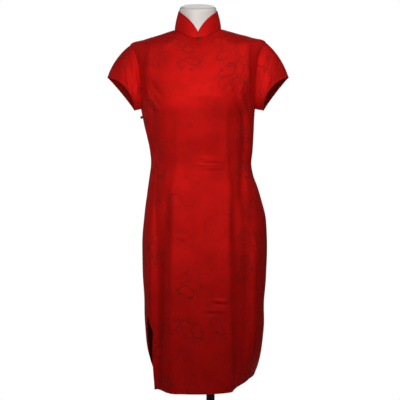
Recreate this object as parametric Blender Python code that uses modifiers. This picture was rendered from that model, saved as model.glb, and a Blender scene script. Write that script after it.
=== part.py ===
"""Knee-length cheongsam on a limbless dress form with a round steel stand.

Metres, +Z up. The front faces -Y and the wearer's left is +X. Every piece of cloth is a closed wall
whose outer face lies on one smooth skin, read at an angle round the figure and a level up the cloth.
"""

import math

import bmesh
import bpy
import numpy as np
from mathutils import Matrix

# Cloth
CLOTH_WALL = 0.0020
SEAM_GAP = 0.0003
ARMHOLE_GAP = 0.0004
PANEL_COLUMNS = 26
SLEEVE_ROWS = 5
COLLAR_ROWS = 3

# Levels up the cloth from the front hem, and the rows of mesh between them
HEM_LEVEL = 0.0
SLIT_LEVEL = 0.22
WAIST_LEVEL = 0.65
UNDERARM_LEVEL = 0.812
SHOULDER_LEVEL = 0.98
NECK_LEVEL = 1.12
ROWS_TO_SLIT = 6
ROWS_TO_WAIST = 10
ROWS_TO_UNDERARM = 5
ROWS_TO_SHOULDER = 12
ROWS_TO_NECK = 5

# Girth rings of the outer skin. side_z, front_z and back_z let a ring dip or rise round the body,
# right and left are its half widths, side_y is where it is widest, seam is the side seam's angle in
# degrees forward of there, and the square columns are the powers of its curve, 2 for an ellipse.
RING_COLUMNS = ("level", "side_z", "front_z", "back_z", "right", "left", "front", "back",
                "side_y", "seam", "square_right", "square_left")
RINGS = (
    (0.000, 0.349, 0.346, 0.361, 0.134, 0.153, 0.106, 0.104, 0.015, 24, 2.9, 2.2),
    (0.050, 0.400, 0.400, 0.405, 0.142, 0.169, 0.108, 0.106, 0.015, 24, 2.8, 2.2),
    (0.100, 0.452, 0.452, 0.453, 0.1515, 0.182, 0.110, 0.108, 0.015, 24, 2.6, 2.3),
    (0.180, 0.533, 0.533, 0.533, 0.1575, 0.194, 0.113, 0.111, 0.014, 24, 2.5, 2.3),
    (0.250, 0.605, 0.605, 0.605, 0.159, 0.196, 0.114, 0.114, 0.013, 24, 2.4, 2.3),
    (0.320, 0.676, 0.676, 0.676, 0.163, 0.201, 0.115, 0.119, 0.012, 24, 2.3, 2.3),
    (0.387, 0.743, 0.743, 0.743, 0.164, 0.203, 0.113, 0.124, 0.010, 23, 2.2, 2.3),
    (0.455, 0.812, 0.812, 0.812, 0.162, 0.202, 0.108, 0.126, 0.008, 22, 2.1, 2.2),
    (0.500, 0.857, 0.857, 0.857, 0.157, 0.197, 0.106, 0.122, 0.006, 20, 2.1, 2.1),
    (0.540, 0.897, 0.897, 0.897, 0.152, 0.187, 0.104, 0.115, 0.004, 18, 2.1, 2.1),
    (0.585, 0.941, 0.941, 0.941, 0.146, 0.173, 0.102, 0.104, 0.002, 16, 2.1, 2.1),
    (0.615, 0.971, 0.971, 0.971, 0.141, 0.162, 0.100, 0.096, 0.000, 14, 2.1, 2.1),
    (0.650, 1.006, 1.006, 1.006, 0.137, 0.155, 0.100, 0.090, -0.002, 12, 2.1, 2.1),
    (0.690, 1.046, 1.046, 1.046, 0.140, 0.159, 0.104, 0.091, -0.003, 10, 2.1, 2.1),
    (0.725, 1.080, 1.080, 1.080, 0.146, 0.161, 0.109, 0.093, -0.004, 8, 2.1, 2.1),
    (0.760, 1.115, 1.115, 1.115, 0.155, 0.162, 0.116, 0.096, -0.005, 6, 2.1, 2.1),
    (0.786, 1.140, 1.140, 1.140, 0.160, 0.163, 0.123, 0.098, -0.006, 4, 2.1, 2.1),
    (0.812, 1.166, 1.166, 1.166, 0.165, 0.165, 0.130, 0.100, -0.007, 2, 2.1, 2.1),
    (0.850, 1.208, 1.203, 1.203, 0.171, 0.171, 0.134, 0.102, -0.006, 1, 2.1, 2.1),
    (0.895, 1.257, 1.245, 1.249, 0.179, 0.179, 0.131, 0.102, -0.004, 0, 2.0, 2.0),
    (0.940, 1.309, 1.281, 1.289, 0.187, 0.187, 0.122, 0.098, -0.001, 0, 1.8, 1.8),
    (0.980, 1.351, 1.308, 1.322, 0.197, 0.197, 0.110, 0.092, 0.002, 0, 1.5, 1.5),
    (1.030, 1.368, 1.329, 1.351, 0.154, 0.154, 0.097, 0.083, 0.002, 0, 1.6, 1.6),
    (1.075, 1.381, 1.349, 1.379, 0.109, 0.109, 0.081, 0.070, 0.000, 0, 1.8, 1.8),
    (1.120, 1.394, 1.369, 1.406, 0.067, 0.067, 0.060, 0.052, -0.004, 0, 2.0, 2.0),
)

# Long folds and the bust: a soft ridge, or a trough where the depth is minus, that runs from one
# angle and level to another. Angles and widths are in degrees, 0 at the middle of the front.
FOLD_COLUMNS = ("low_angle", "low_level", "high_angle", "high_level", "half_width", "depth")
FOLDS = (
    (-32, -0.10, -30, 0.58, 9, 0.0035),
    (-49, -0.10, -47, 0.60, 8, -0.0060),
    (-64, -0.10, -62, 0.56, 7, 0.0030),
    (36, -0.10, 33, 0.54, 9, 0.0030),
    (51, -0.10, 49, 0.58, 7, -0.0060),
    (62, -0.10, 61, 0.52, 6, 0.0035),
    (150, -0.10, 156, 0.42, 9, -0.0050),
    (-146, -0.10, -154, 0.40, 10, -0.0050),
    (118, -0.10, 122, 0.46, 9, -0.0040),
    (-116, -0.10, -120, 0.44, 9, -0.0040),
    (33, 0.79, 33, 0.88, 19, 0.0070),
    (-33, 0.79, -33, 0.88, 19, 0.0070),
)
FOLD_END = 0.07

# The back panel below the side slits hangs to the wearer's left: its edge on that side passes
# under the front panel, and on the other side the front edge draws in and the slit stands open.
SLIT_TOP = 0.215
BACK_WIDER = {"right": -0.018, "left": 0.016}
BACK_WIDER_POWER = {"right": 2.6, "left": 1.0}
BACK_BEHIND = {"right": 0.022, "left": 0.030}
BACK_EDGE_FORWARD = {"right": -20, "left": 12}
FRONT_EDGE_IN = math.radians(10)

# The wearer's left shoulder sits higher, by this much for each metre across, and on that side the
# hem swings up behind the front edge
SHOULDER_LEAN = {"right": 0.012, "left": 0.026}
HEM_LIFT = 0.023
HEM_LIFT_LEVEL = 0.12

# Armholes: how far the front and back panels are cut away at their middle, in degrees
ARMHOLE_FRONT = 15.0
ARMHOLE_BACK = 20.0

# Sleeve opening, drawn for the wearer's left and mirrored for the right: tip and underarm end of its
# edge, half depth, and how far the front edge is hollowed back towards the shoulder
SLEEVE_TIP = (0.263, 0.002, 1.256)
SLEEVE_LOW = {"left": (0.191, -0.006, 1.161), "right": (0.185, -0.006, 1.161)}
SLEEVE_HALF_DEPTH = 0.052
SLEEVE_HOLLOW = 0.026
SLEEVE_BULGE = 0.009

# Stand collar
COLLAR_TOP_Z = 1.444
COLLAR_TOP_HALF = 0.0565
COLLAR_TOP_Y = -0.012
COLLAR_TILT = math.radians(10)
COLLAR_FRONT_SHARE = 0.17
COLLAR_CURVE_HALF = 0.0555
COLLAR_CURVE_POWER = 1.2
COLLAR_END_LOW = 0.0005
COLLAR_END_HIGH = 0.0010
PIPING_RADIUS = 0.0013
PIPING_GAP = 0.0004
PIPING_ROUNDING = 0

# Knotted buttons
NECK_BUTTON_RADIUS = 0.0036
SIDE_BUTTON_RADIUS = 0.0040
SIDE_BUTTON_LEVEL = 0.789

# Dress form
FORM_BOTTOM_LEVEL = 0.31
FORM_COLUMNS = 32
FORM_CLEARANCE_LEVELS = (0.31, 0.55, 0.65, 0.80, 0.94, 0.99, 1.12)
FORM_CLEARANCE = (0.012, 0.008, 0.004, 0.004, 0.0014, 0.0009, 0.0009)
NECK_CLEARANCE = 0.0014
NECK_CAP_Z = 1.460
NECK_CAP_ROUND = 0.006

# Stand
STAND_X = 0.037
BASE_RADIUS = 0.165
BASE_THICK = 0.012
BASE_EDGE = 0.003
HUB_RADIUS = 0.030
HUB_HEIGHT = 0.028
POLE_RADIUS = 0.0125
SOCKET_RADIUS = 0.032
SOCKET_HEIGHT = 0.040
STAND_GAP = 0.0003
ROUND_SIDES = 40
SHARP_ANGLE = math.radians(40)


def clear_scene():
    for obj in list(bpy.data.objects):
        bpy.data.objects.remove(obj, do_unlink=True)


def collection(name):
    made = bpy.data.collections.new(name)
    bpy.context.scene.collection.children.link(made)
    return made


def material(name, color, roughness, metallic=0.0):
    made = bpy.data.materials.new(name)
    made.use_nodes = True
    shader = made.node_tree.nodes["Principled BSDF"]
    shader.inputs["Base Color"].default_value = (*color, 1.0)
    shader.inputs["Roughness"].default_value = roughness
    shader.inputs["Metallic"].default_value = metallic
    return made


def smooth_between(x, known_x, known_y):
    """Cubic curve through the known points."""
    slopes = np.gradient(known_y, known_x)
    i = np.clip(np.searchsorted(known_x, x, side="right") - 1, 0, len(known_x) - 2)
    step = known_x[i + 1] - known_x[i]
    t = (x - known_x[i]) / step
    start = known_y[i] * (1 + 2 * t) * (1 - t) ** 2 + slopes[i] * step * t * (1 - t) ** 2
    end = known_y[i + 1] * t ** 2 * (3 - 2 * t) + slopes[i + 1] * step * t ** 2 * (t - 1)
    return start + end


RING_TABLE = dict(zip(RING_COLUMNS, np.array(RINGS).T))


def ring(level, name):
    """One size of the girth ring at this level."""
    return smooth_between(level, RING_TABLE["level"], RING_TABLE[name])


def soft_step(x):
    x = np.clip(x, 0.0, 1.0)
    return x * x * (3 - 2 * x)


def fold_depth(phi, level):
    """Sum of the folds at an angle and level, outwards."""
    total = np.zeros_like(phi + level)
    for row in FOLDS:
        fold = dict(zip(FOLD_COLUMNS, row))
        low = fold["low_level"]
        high = fold["high_level"]
        share = (level - low) / (high - low)
        centre = np.radians(fold["low_angle"] + (fold["high_angle"] - fold["low_angle"]) * share)
        across = (phi - centre + np.pi) % (2 * np.pi) - np.pi
        ends = soft_step((level - low) / FOLD_END) * soft_step((high - level) / FOLD_END)
        across = across / np.radians(fold["half_width"])
        total = total + fold["depth"] * ends * np.exp(-(across ** 2))
    return total


def hang(level):
    """0 at the top of a side slit and 1 at the hem."""
    return np.clip((SLIT_TOP - level) / SLIT_TOP, 0.0, 1.0) ** 1.2


def skin(phi, level, panel="front", folds=True):
    """Outer face of the dress at angle phi from the middle of the front, towards the wearer's left."""
    phi = np.asarray(phi, float)
    level = np.asarray(level, float)
    sine = np.sin(phi)
    cosine = np.cos(phi)
    half = np.where(sine > 0, ring(level, "left"), ring(level, "right"))
    power = np.where(sine > 0, ring(level, "square_left"), ring(level, "square_right"))
    side_y = ring(level, "side_y")
    depth = np.where(cosine > 0, ring(level, "front") + side_y, ring(level, "back") - side_y)
    behind = 0.0
    if panel == "back":
        wider = {side: BACK_WIDER[side] * hang(level) ** BACK_WIDER_POWER[side] for side in BACK_WIDER}
        later = {side: BACK_BEHIND[side] * hang(level) for side in BACK_BEHIND}
        half = half + np.where(sine > 0, wider["left"], wider["right"])
        behind = np.where(sine > 0, later["left"], later["right"]) * sine ** 2
    radius = (np.abs(sine / half) ** power + np.abs(cosine / depth) ** power) ** (-1 / power)
    if folds:
        radius = radius + fold_depth(phi, level)
    rise = np.where(cosine > 0, ring(level, "front_z"), ring(level, "back_z")) - ring(level, "side_z")
    x = radius * sine
    y = side_y - radius * cosine + behind
    z = ring(level, "side_z") + rise * cosine ** 2
    lean = np.where(x > 0, SHOULDER_LEAN["left"], SHOULDER_LEAN["right"])
    z = z + lean * x * soft_step((level - 0.80) / 0.16)
    low = np.clip(1 - level / HEM_LIFT_LEVEL, 0.0, 1.0) ** 2
    z = z + HEM_LIFT * low * soft_step((sine - 0.72) / 0.22)
    return np.stack(np.broadcast_arrays(x, y, z), axis=-1)


def unit(vectors):
    return vectors / np.linalg.norm(vectors, axis=-1, keepdims=True)


def skin_normal(phi, level, panel="front", folds=True):
    """Outward normal of the skin."""
    step = 1e-4
    level = np.clip(level, step, NECK_LEVEL - step)
    round_way = skin(phi + step, level, panel, folds) - skin(phi - step, level, panel, folds)
    up = skin(phi, level + step, panel, folds) - skin(phi, level - step, panel, folds)
    return unit(np.cross(round_way, up))


def armhole_share(level):
    """0 at the underarm and the shoulder point and 1 half way between them."""
    middle = (UNDERARM_LEVEL + SHOULDER_LEVEL) / 2
    half = (SHOULDER_LEVEL - UNDERARM_LEVEL) / 2
    return np.sqrt(np.clip(1 - ((level - middle) / half) ** 2, 0.0, 1.0))


def panel_edges(level, panel):
    """The two angles between which a panel lies at this level."""
    seam = ring(level, "seam")
    share = armhole_share(level)
    open_share = hang(level)
    if panel == "front":
        edge = math.radians(90 - seam - ARMHOLE_FRONT * share)
        drawn_in = FRONT_EDGE_IN * min(1.0, open_share / 0.15) ** 0.5 * (1 - open_share / 2)
        return drawn_in - edge, edge
    forward = {side: seam + BACK_EDGE_FORWARD[side] * open_share ** 2 for side in BACK_WIDER}
    cut = ARMHOLE_BACK * share
    return (math.radians(90 - forward["left"] + cut), math.radians(270 + forward["right"] - cut))


def panel_angles(level, panel):
    """Angles of a row's points, evenly spaced along the cloth and clear of the seams."""
    start, end = panel_edges(level, panel)
    fine = np.linspace(start, end, 600)
    steps = np.linalg.norm(np.diff(skin(fine, level, panel), axis=0), axis=1)
    along = np.concatenate([[0], np.cumsum(steps)])
    trim = 0.0 if armhole_share(level) > 0.01 else SEAM_GAP / 2
    wanted = np.linspace(trim, along[-1] - trim, PANEL_COLUMNS + 1)
    return np.interp(wanted, along, fine)


def armhole_levels():
    middle = (UNDERARM_LEVEL + SHOULDER_LEVEL) / 2
    half = (SHOULDER_LEVEL - UNDERARM_LEVEL) / 2
    turn = np.linspace(0, np.pi, ROWS_TO_SHOULDER + 1)
    return middle - half * np.cos(turn)


def row_levels():
    """Levels of a panel's rows, hem to neck."""
    return np.concatenate([
        np.linspace(HEM_LEVEL, SLIT_LEVEL, ROWS_TO_SLIT + 1)[:-1],
        np.linspace(SLIT_LEVEL, WAIST_LEVEL, ROWS_TO_WAIST + 1)[:-1],
        np.linspace(WAIST_LEVEL, UNDERARM_LEVEL, ROWS_TO_UNDERARM + 1)[:-1],
        armhole_levels(),
        np.linspace(SHOULDER_LEVEL, NECK_LEVEL, ROWS_TO_NECK + 1)[1:],
    ])


def armhole_loop(side):
    """Angles and levels round an armhole, from the underarm up the front and down the back."""
    levels = armhole_levels()
    front = [panel_edges(level, "front")[1] for level in levels]
    back = [panel_edges(level, "back")[0] for level in levels]
    phi = np.array(front + back[-2:0:-1])
    level = np.concatenate([levels, levels[-2:0:-1]])
    return (phi if side == "left" else -phi), level


def mirrored(points, side):
    return points if side == "left" else points * np.array([-1, 1, 1])


def sleeve_grid(side):
    """Outer face of a sleeve: rows from the armhole to the opening, columns round it."""
    phi, level = armhole_loop(side)
    start = skin(phi, level)
    turn = np.linspace(0, 2 * np.pi, len(phi), endpoint=False)
    tip = np.array(SLEEVE_TIP)
    low = np.array(SLEEVE_LOW[side])
    middle = (tip + low) / 2
    half_chord = (tip - low) / 2
    inward = unit(np.array([-half_chord[2], 0.0, half_chord[0]]))
    front_share = np.clip(np.sin(turn), 0.0, 1.0)
    end = middle - np.cos(turn)[:, None] * half_chord
    end = end + np.sin(turn)[:, None] * np.array([0.0, -SLEEVE_HALF_DEPTH, 0.0])
    end = end + SLEEVE_HOLLOW * (front_share ** 1.6)[:, None] * inward
    end = mirrored(end, side)
    outward = unit(end - end.mean(axis=0))
    bulge = SLEEVE_BULGE * (0.5 - 0.5 * np.cos(turn))[:, None] * outward
    share = np.linspace(0, 1, SLEEVE_ROWS + 1)[:, None, None]
    return start + (end - start) * share + 4 * share * (1 - share) * bulge


def grid_normals(grid, flip):
    """Normals of a grid that is closed along its columns."""
    round_way = np.roll(grid, -1, axis=1) - np.roll(grid, 1, axis=1)
    away = np.gradient(grid, axis=0)
    normals = unit(np.cross(round_way, away))
    return -normals if flip else normals


def mitred(first, second):
    """The shared direction through two walls at their seam, long enough to keep both thick."""
    shared = unit(first + second)
    return shared / np.maximum(0.6, np.sum(shared * first, axis=-1, keepdims=True))


def collar_height(phi):
    """Share of the full height round the collar, low at the middle of the front."""
    across = np.abs(np.sin(phi)) * COLLAR_TOP_HALF / COLLAR_CURVE_HALF
    across = np.where(np.cos(phi) > 0, np.clip(across, 0.0, 1.0), 1.0)
    curve = (1 - (1 - across) ** COLLAR_CURVE_POWER) ** (1 / COLLAR_CURVE_POWER)
    return COLLAR_FRONT_SHARE + (1 - COLLAR_FRONT_SHARE) * curve


def collar_skin(phi, share):
    """Outer face of the collar, or the same tube carried on above it, at a share of its full height."""
    base = skin(phi, NECK_LEVEL)
    top_y = COLLAR_TOP_Y - COLLAR_TOP_HALF * np.cos(phi)
    top_z = COLLAR_TOP_Z + (top_y - COLLAR_TOP_Y) * math.tan(COLLAR_TILT)
    top = np.stack([COLLAR_TOP_HALF * np.sin(phi), top_y, top_z + np.zeros_like(phi)], axis=-1)
    share = np.asarray(share, float)[..., None]
    inward = np.clip(share, 0.0, 1.0) ** 1.5
    mixed = base + (top - base) * inward
    mixed[..., 2] = (base + (top - base) * share)[..., 2]
    return mixed


def collar_normal(phi, share):
    step = 1e-4
    round_way = collar_skin(phi + step, share) - collar_skin(phi - step, share)
    up = collar_skin(phi, np.asarray(share) + step) - collar_skin(phi, np.asarray(share) - step)
    return unit(np.cross(round_way, up))


def neck_miter(phi):
    return mitred(skin_normal(phi, NECK_LEVEL), collar_normal(phi, 0.02))


def wall_mesh(name, outer, inner, closed):
    """A closed wall between two grids of points, rows by columns, with its rims."""
    rows, columns = outer.shape[:2]
    points = np.concatenate([outer.reshape(-1, 3), inner.reshape(-1, 3)])

    def index(layer, row, column):
        return layer * rows * columns + row * columns + column % columns

    faces = []
    spans = columns if closed else columns - 1
    for row in range(rows - 1):
        for column in range(spans):
            quad = [(row, column), (row, column + 1), (row + 1, column + 1), (row + 1, column)]
            faces.append([index(0, *corner) for corner in quad])
            faces.append([index(1, *corner) for corner in reversed(quad)])
    for column in range(spans):
        for row, flip in ((0, False), (rows - 1, True)):
            rim = [index(0, row, column), index(1, row, column),
                   index(1, row, column + 1), index(0, row, column + 1)]
            faces.append(rim[::-1] if flip else rim)
    if not closed:
        for row in range(rows - 1):
            for column, flip in ((0, True), (columns - 1, False)):
                rim = [index(0, row, column), index(1, row, column),
                       index(1, row + 1, column), index(0, row + 1, column)]
                faces.append(rim[::-1] if flip else rim)
    mesh = bpy.data.meshes.new(name)
    mesh.from_pydata([tuple(point) for point in points], [], faces)
    mesh.update()
    return mesh


def finished(name, mesh, paint, group):
    """Object of a mesh with its faces turned out and its round faces shaded smooth."""
    work = bmesh.new()
    work.from_mesh(mesh)
    bmesh.ops.recalc_face_normals(work, faces=work.faces)
    work.to_mesh(mesh)
    work.free()
    mesh.materials.clear()
    mesh.materials.append(paint)
    mesh.shade_smooth()
    mesh.set_sharp_from_angle(angle=SHARP_ANGLE)
    obj = bpy.data.objects.new(name, mesh)
    group.objects.link(obj)
    return obj


def sleeve_miters(side):
    """The shared directions round an armhole's seam, and the way across it into the sleeve."""
    grid = sleeve_grid(side)
    phi, level = armhole_loop(side)
    normals = grid_normals(grid, flip=side == "left")
    shared = mitred(skin_normal(phi, level), normals[0])
    along = np.roll(grid[0], -1, axis=0) - np.roll(grid[0], 1, axis=0)
    across = unit(np.cross(along, shared))
    toward = np.sum(across * (grid[1] - grid[0]), axis=-1, keepdims=True)
    return grid, normals, shared, across * np.sign(toward)


def build_panel(panel, miters, paint, group):
    """The front or the back of the dress as one wall, with its armholes cut away."""
    levels = row_levels()
    angles = np.array([panel_angles(level, panel) for level in levels])
    spread = np.repeat(levels[:, None], PANEL_COLUMNS + 1, axis=1)
    outer = skin(angles, spread, panel)
    through = skin_normal(angles, spread, panel)
    through[-1] = neck_miter(angles[-1])
    first = ROWS_TO_SLIT + ROWS_TO_WAIST + ROWS_TO_UNDERARM
    edge_of = {"left": -1 if panel == "front" else 0, "right": 0 if panel == "front" else -1}
    for side, edge in edge_of.items():
        shared = miters[side]
        for row in range(ROWS_TO_SHOULDER + 1):
            place = row if panel == "front" else -row % len(shared)
            through[first + row, edge] = shared[place]
    inner = outer - CLOTH_WALL * through
    name = panel + "_panel"
    finished(name, wall_mesh(name, outer, inner, False), paint, group)


def build_sleeve(side, grid, normals, shared, across, paint, group):
    """A cap sleeve from its armhole to its open end."""
    outer = grid.copy()
    outer[0] += ARMHOLE_GAP * across
    through = normals.copy()
    through[0] = shared
    inner = outer - CLOTH_WALL * through
    name = "sleeve_" + side
    finished(name, wall_mesh(name, outer, inner, True), paint, group)


def collar_angles():
    """Angles of the collar's columns, over those of the two panels' top rows."""
    front = panel_angles(NECK_LEVEL, "front")
    back = panel_angles(NECK_LEVEL, "back")
    middle = PANEL_COLUMNS // 2
    left = front[middle + 1:-1]
    right = front[1:middle] + 2 * np.pi
    seams = np.array([np.pi / 2, 3 * np.pi / 2])
    return np.concatenate([left, seams[:1], back[1:-1], seams[1:], right])


def build_collar(paint, group):
    """The stand collar: one band round the neck whose front ends lean apart into a small V."""
    angles = collar_angles()
    shares = np.linspace(0, 1, COLLAR_ROWS + 1)
    half_front = RING_TABLE["front"][-1]
    outer = []
    through = []
    for share in shares:
        end = (COLLAR_END_LOW + (COLLAR_END_HIGH - COLLAR_END_LOW) * share) / half_front
        phi = np.concatenate([[end], angles, [2 * np.pi - end]])
        height = share * collar_height(phi)
        outer.append(collar_skin(phi, height))
        through.append(neck_miter(phi) if share == 0 else collar_normal(phi, height))
    outer = np.array(outer)
    through = np.array(through)
    along = np.gradient(outer[0], axis=0)
    across = unit(np.cross(through[0], along))
    across = across * np.sign(across[:, 2:])
    outer[0] += SEAM_GAP * across
    inner = outer - CLOTH_WALL * through
    finished("collar", wall_mesh("collar", outer, inner, False), paint, group)
    return (outer[-1] + inner[-1]) / 2, through[-1]


def build_piping(edge, normals, paint, group):
    """The cord sewn along the collar's upper edge, from one side of the V to the other."""
    along = unit(np.gradient(edge, axis=0))
    beyond = unit(np.cross(normals, along))
    route = edge + (PIPING_RADIUS + PIPING_GAP) * beyond
    curve = bpy.data.curves.new("collar_piping", "CURVE")
    curve.dimensions = "3D"
    curve.bevel_depth = PIPING_RADIUS
    curve.bevel_resolution = PIPING_ROUNDING
    curve.use_fill_caps = True
    spline = curve.splines.new("POLY")
    spline.points.add(len(route) - 1)
    for target, point in zip(spline.points, route):
        target.co = (*point, 1.0)
    spline.use_smooth = True
    curve.materials.append(paint)
    obj = bpy.data.objects.new("collar_piping", curve)
    group.objects.link(obj)


def build_knot(name, phi, level, radius, paint, group):
    """A round knot button on the cloth."""
    centre = skin(np.array(phi), np.array(level)) + (radius + SEAM_GAP) * skin_normal(phi, level)
    mesh = bpy.data.meshes.new(name)
    work = bmesh.new()
    bmesh.ops.create_uvsphere(work, u_segments=16, v_segments=9, radius=radius)
    work.to_mesh(mesh)
    work.free()
    obj = finished(name, mesh, paint, group)
    obj.location = tuple(centre)


def form_rings():
    """Rings of the dress form, from its hips over the shoulders and up the neck."""
    phi = np.linspace(0, 2 * np.pi, FORM_COLUMNS, endpoint=False)
    levels = np.concatenate([np.linspace(FORM_BOTTOM_LEVEL, 0.80, 11), np.linspace(0.84, 0.98, 5),
                             np.linspace(1.02, 1.10, 4)])
    rings = []
    for level in levels:
        clearance = np.interp(level, FORM_CLEARANCE_LEVELS, FORM_CLEARANCE) + CLOTH_WALL
        normal = skin_normal(phi, level, folds=False)
        bust = np.maximum(0.0, fold_depth(phi, level)) * (level > WAIST_LEVEL)
        rings.append(skin(phi, level, folds=False) - (clearance - bust[:, None]) * normal)
    inset = CLOTH_WALL + NECK_CLEARANCE
    rings.append(skin(phi, NECK_LEVEL) - inset * neck_miter(phi))
    for share in (0.15, 0.35, 0.6, 1.0):
        rings.append(collar_skin(phi, share) - inset * collar_normal(phi, share))
    rings.extend(cap_rings(rings[-1]))
    return rings


def cap_rings(last):
    """The neck's straight end and the rounded edge of its flat cap."""
    centre = last.mean(axis=0)
    axis = np.array([0.0, -math.sin(COLLAR_TILT), math.cos(COLLAR_TILT)])
    height = (NECK_CAP_Z - centre[2]) / axis[2]
    rings = []
    for turn in np.radians((0, 30, 60, 90)):
        inset = NECK_CAP_ROUND * (1 - math.cos(turn))
        rise = height - NECK_CAP_ROUND * (1 - math.sin(turn))
        spokes = last - centre
        shrink = 1 - inset / COLLAR_TOP_HALF
        rings.append(centre + spokes * shrink + rise * axis)
    return rings


def build_form(paint, group):
    """The limbless torso with its neck: rings joined into one closed body with flat ends."""
    rings = form_rings()
    mesh = bpy.data.meshes.new("form_torso")
    work = bmesh.new()
    loops = [[work.verts.new(tuple(point)) for point in points] for points in rings]
    for low, high in zip(loops, loops[1:]):
        for column in range(FORM_COLUMNS):
            after = (column + 1) % FORM_COLUMNS
            work.faces.new((low[column], low[after], high[after], high[column]))
    work.faces.new(loops[0][::-1])
    work.faces.new(loops[-1])
    work.to_mesh(mesh)
    work.free()
    finished("form_torso", mesh, paint, group)


def build_cylinder(name, radius, bottom, top, paint, group, edge=0.0):
    """An upright round piece of the stand."""
    mesh = bpy.data.meshes.new(name)
    work = bmesh.new()
    place = Matrix.Translation((0.0, 0.0, (bottom + top) / 2))
    bmesh.ops.create_cone(work, cap_ends=True, segments=ROUND_SIDES, radius1=radius, radius2=radius,
                          depth=top - bottom, matrix=place)
    work.to_mesh(mesh)
    work.free()
    obj = finished(name, mesh, paint, group)
    obj.location = (STAND_X, 0.0, 0.0)
    if edge:
        bevel = obj.modifiers.new("edge", "BEVEL")
        bevel.width = edge
        bevel.segments = 2
        bevel.limit_method = "ANGLE"


def build_stand(paint, group):
    """Base, hub, pole and the socket under the form."""
    form_bottom = float(ring(FORM_BOTTOM_LEVEL, "side_z"))
    hub_top = BASE_THICK + STAND_GAP + HUB_HEIGHT
    socket_top = form_bottom - STAND_GAP
    socket_bottom = socket_top - SOCKET_HEIGHT
    build_cylinder("base_disc", BASE_RADIUS, 0.0, BASE_THICK, paint, group, BASE_EDGE)
    build_cylinder("base_hub", HUB_RADIUS, BASE_THICK + STAND_GAP, hub_top, paint, group, BASE_EDGE)
    build_cylinder("pole", POLE_RADIUS, hub_top + STAND_GAP, socket_bottom - STAND_GAP, paint, group)
    build_cylinder("form_socket", SOCKET_RADIUS, socket_bottom, socket_top, paint, group)


def main():
    clear_scene()
    group = collection("cheongsam_on_form")
    satin = material("red_satin", (0.56, 0.012, 0.010), 0.35)
    knot = material("knot_cord", (0.16, 0.006, 0.006), 0.5)
    white = material("white_form", (0.80, 0.79, 0.77), 0.35)
    black = material("black_steel", (0.012, 0.012, 0.012), 0.4, 0.3)

    sleeves = {side: sleeve_miters(side) for side in ("left", "right")}
    miters = {side: parts[2] for side, parts in sleeves.items()}
    for panel in ("front", "back"):
        build_panel(panel, miters, satin, group)
    for side, parts in sleeves.items():
        build_sleeve(side, *parts, satin, group)
    top_edge, top_normals = build_collar(satin, group)
    build_piping(top_edge, top_normals, satin, group)
    build_knot("neck_button", 0.0, NECK_LEVEL - 0.003, NECK_BUTTON_RADIUS, knot, group)
    seam_angle = -math.pi / 2 + math.radians(float(ring(SIDE_BUTTON_LEVEL, "seam")))
    build_knot("side_button", seam_angle, SIDE_BUTTON_LEVEL, SIDE_BUTTON_RADIUS, knot, group)
    build_form(white, group)
    build_stand(black, group)


main()
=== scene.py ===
import math

import bmesh
import bpy
import numpy as np
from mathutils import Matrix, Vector


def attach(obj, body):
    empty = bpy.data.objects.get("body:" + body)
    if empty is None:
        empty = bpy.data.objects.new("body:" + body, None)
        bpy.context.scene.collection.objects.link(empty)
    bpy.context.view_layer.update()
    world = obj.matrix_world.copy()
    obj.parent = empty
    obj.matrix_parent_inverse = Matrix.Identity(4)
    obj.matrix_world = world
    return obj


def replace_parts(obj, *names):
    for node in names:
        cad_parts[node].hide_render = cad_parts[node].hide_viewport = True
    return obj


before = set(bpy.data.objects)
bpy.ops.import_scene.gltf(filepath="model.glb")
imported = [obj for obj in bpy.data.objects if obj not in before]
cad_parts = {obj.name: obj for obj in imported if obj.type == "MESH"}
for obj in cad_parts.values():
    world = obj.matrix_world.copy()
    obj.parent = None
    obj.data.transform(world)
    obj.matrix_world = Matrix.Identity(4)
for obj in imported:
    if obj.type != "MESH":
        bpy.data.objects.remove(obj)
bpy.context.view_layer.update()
print("frame loaded,", len(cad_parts), "nodes")


# The dress hangs on one skin, read at an angle round the figure and a level up the cloth.
# The front faces -Y, angles run from there towards the wearer's left, and sizes are in metres.

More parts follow.
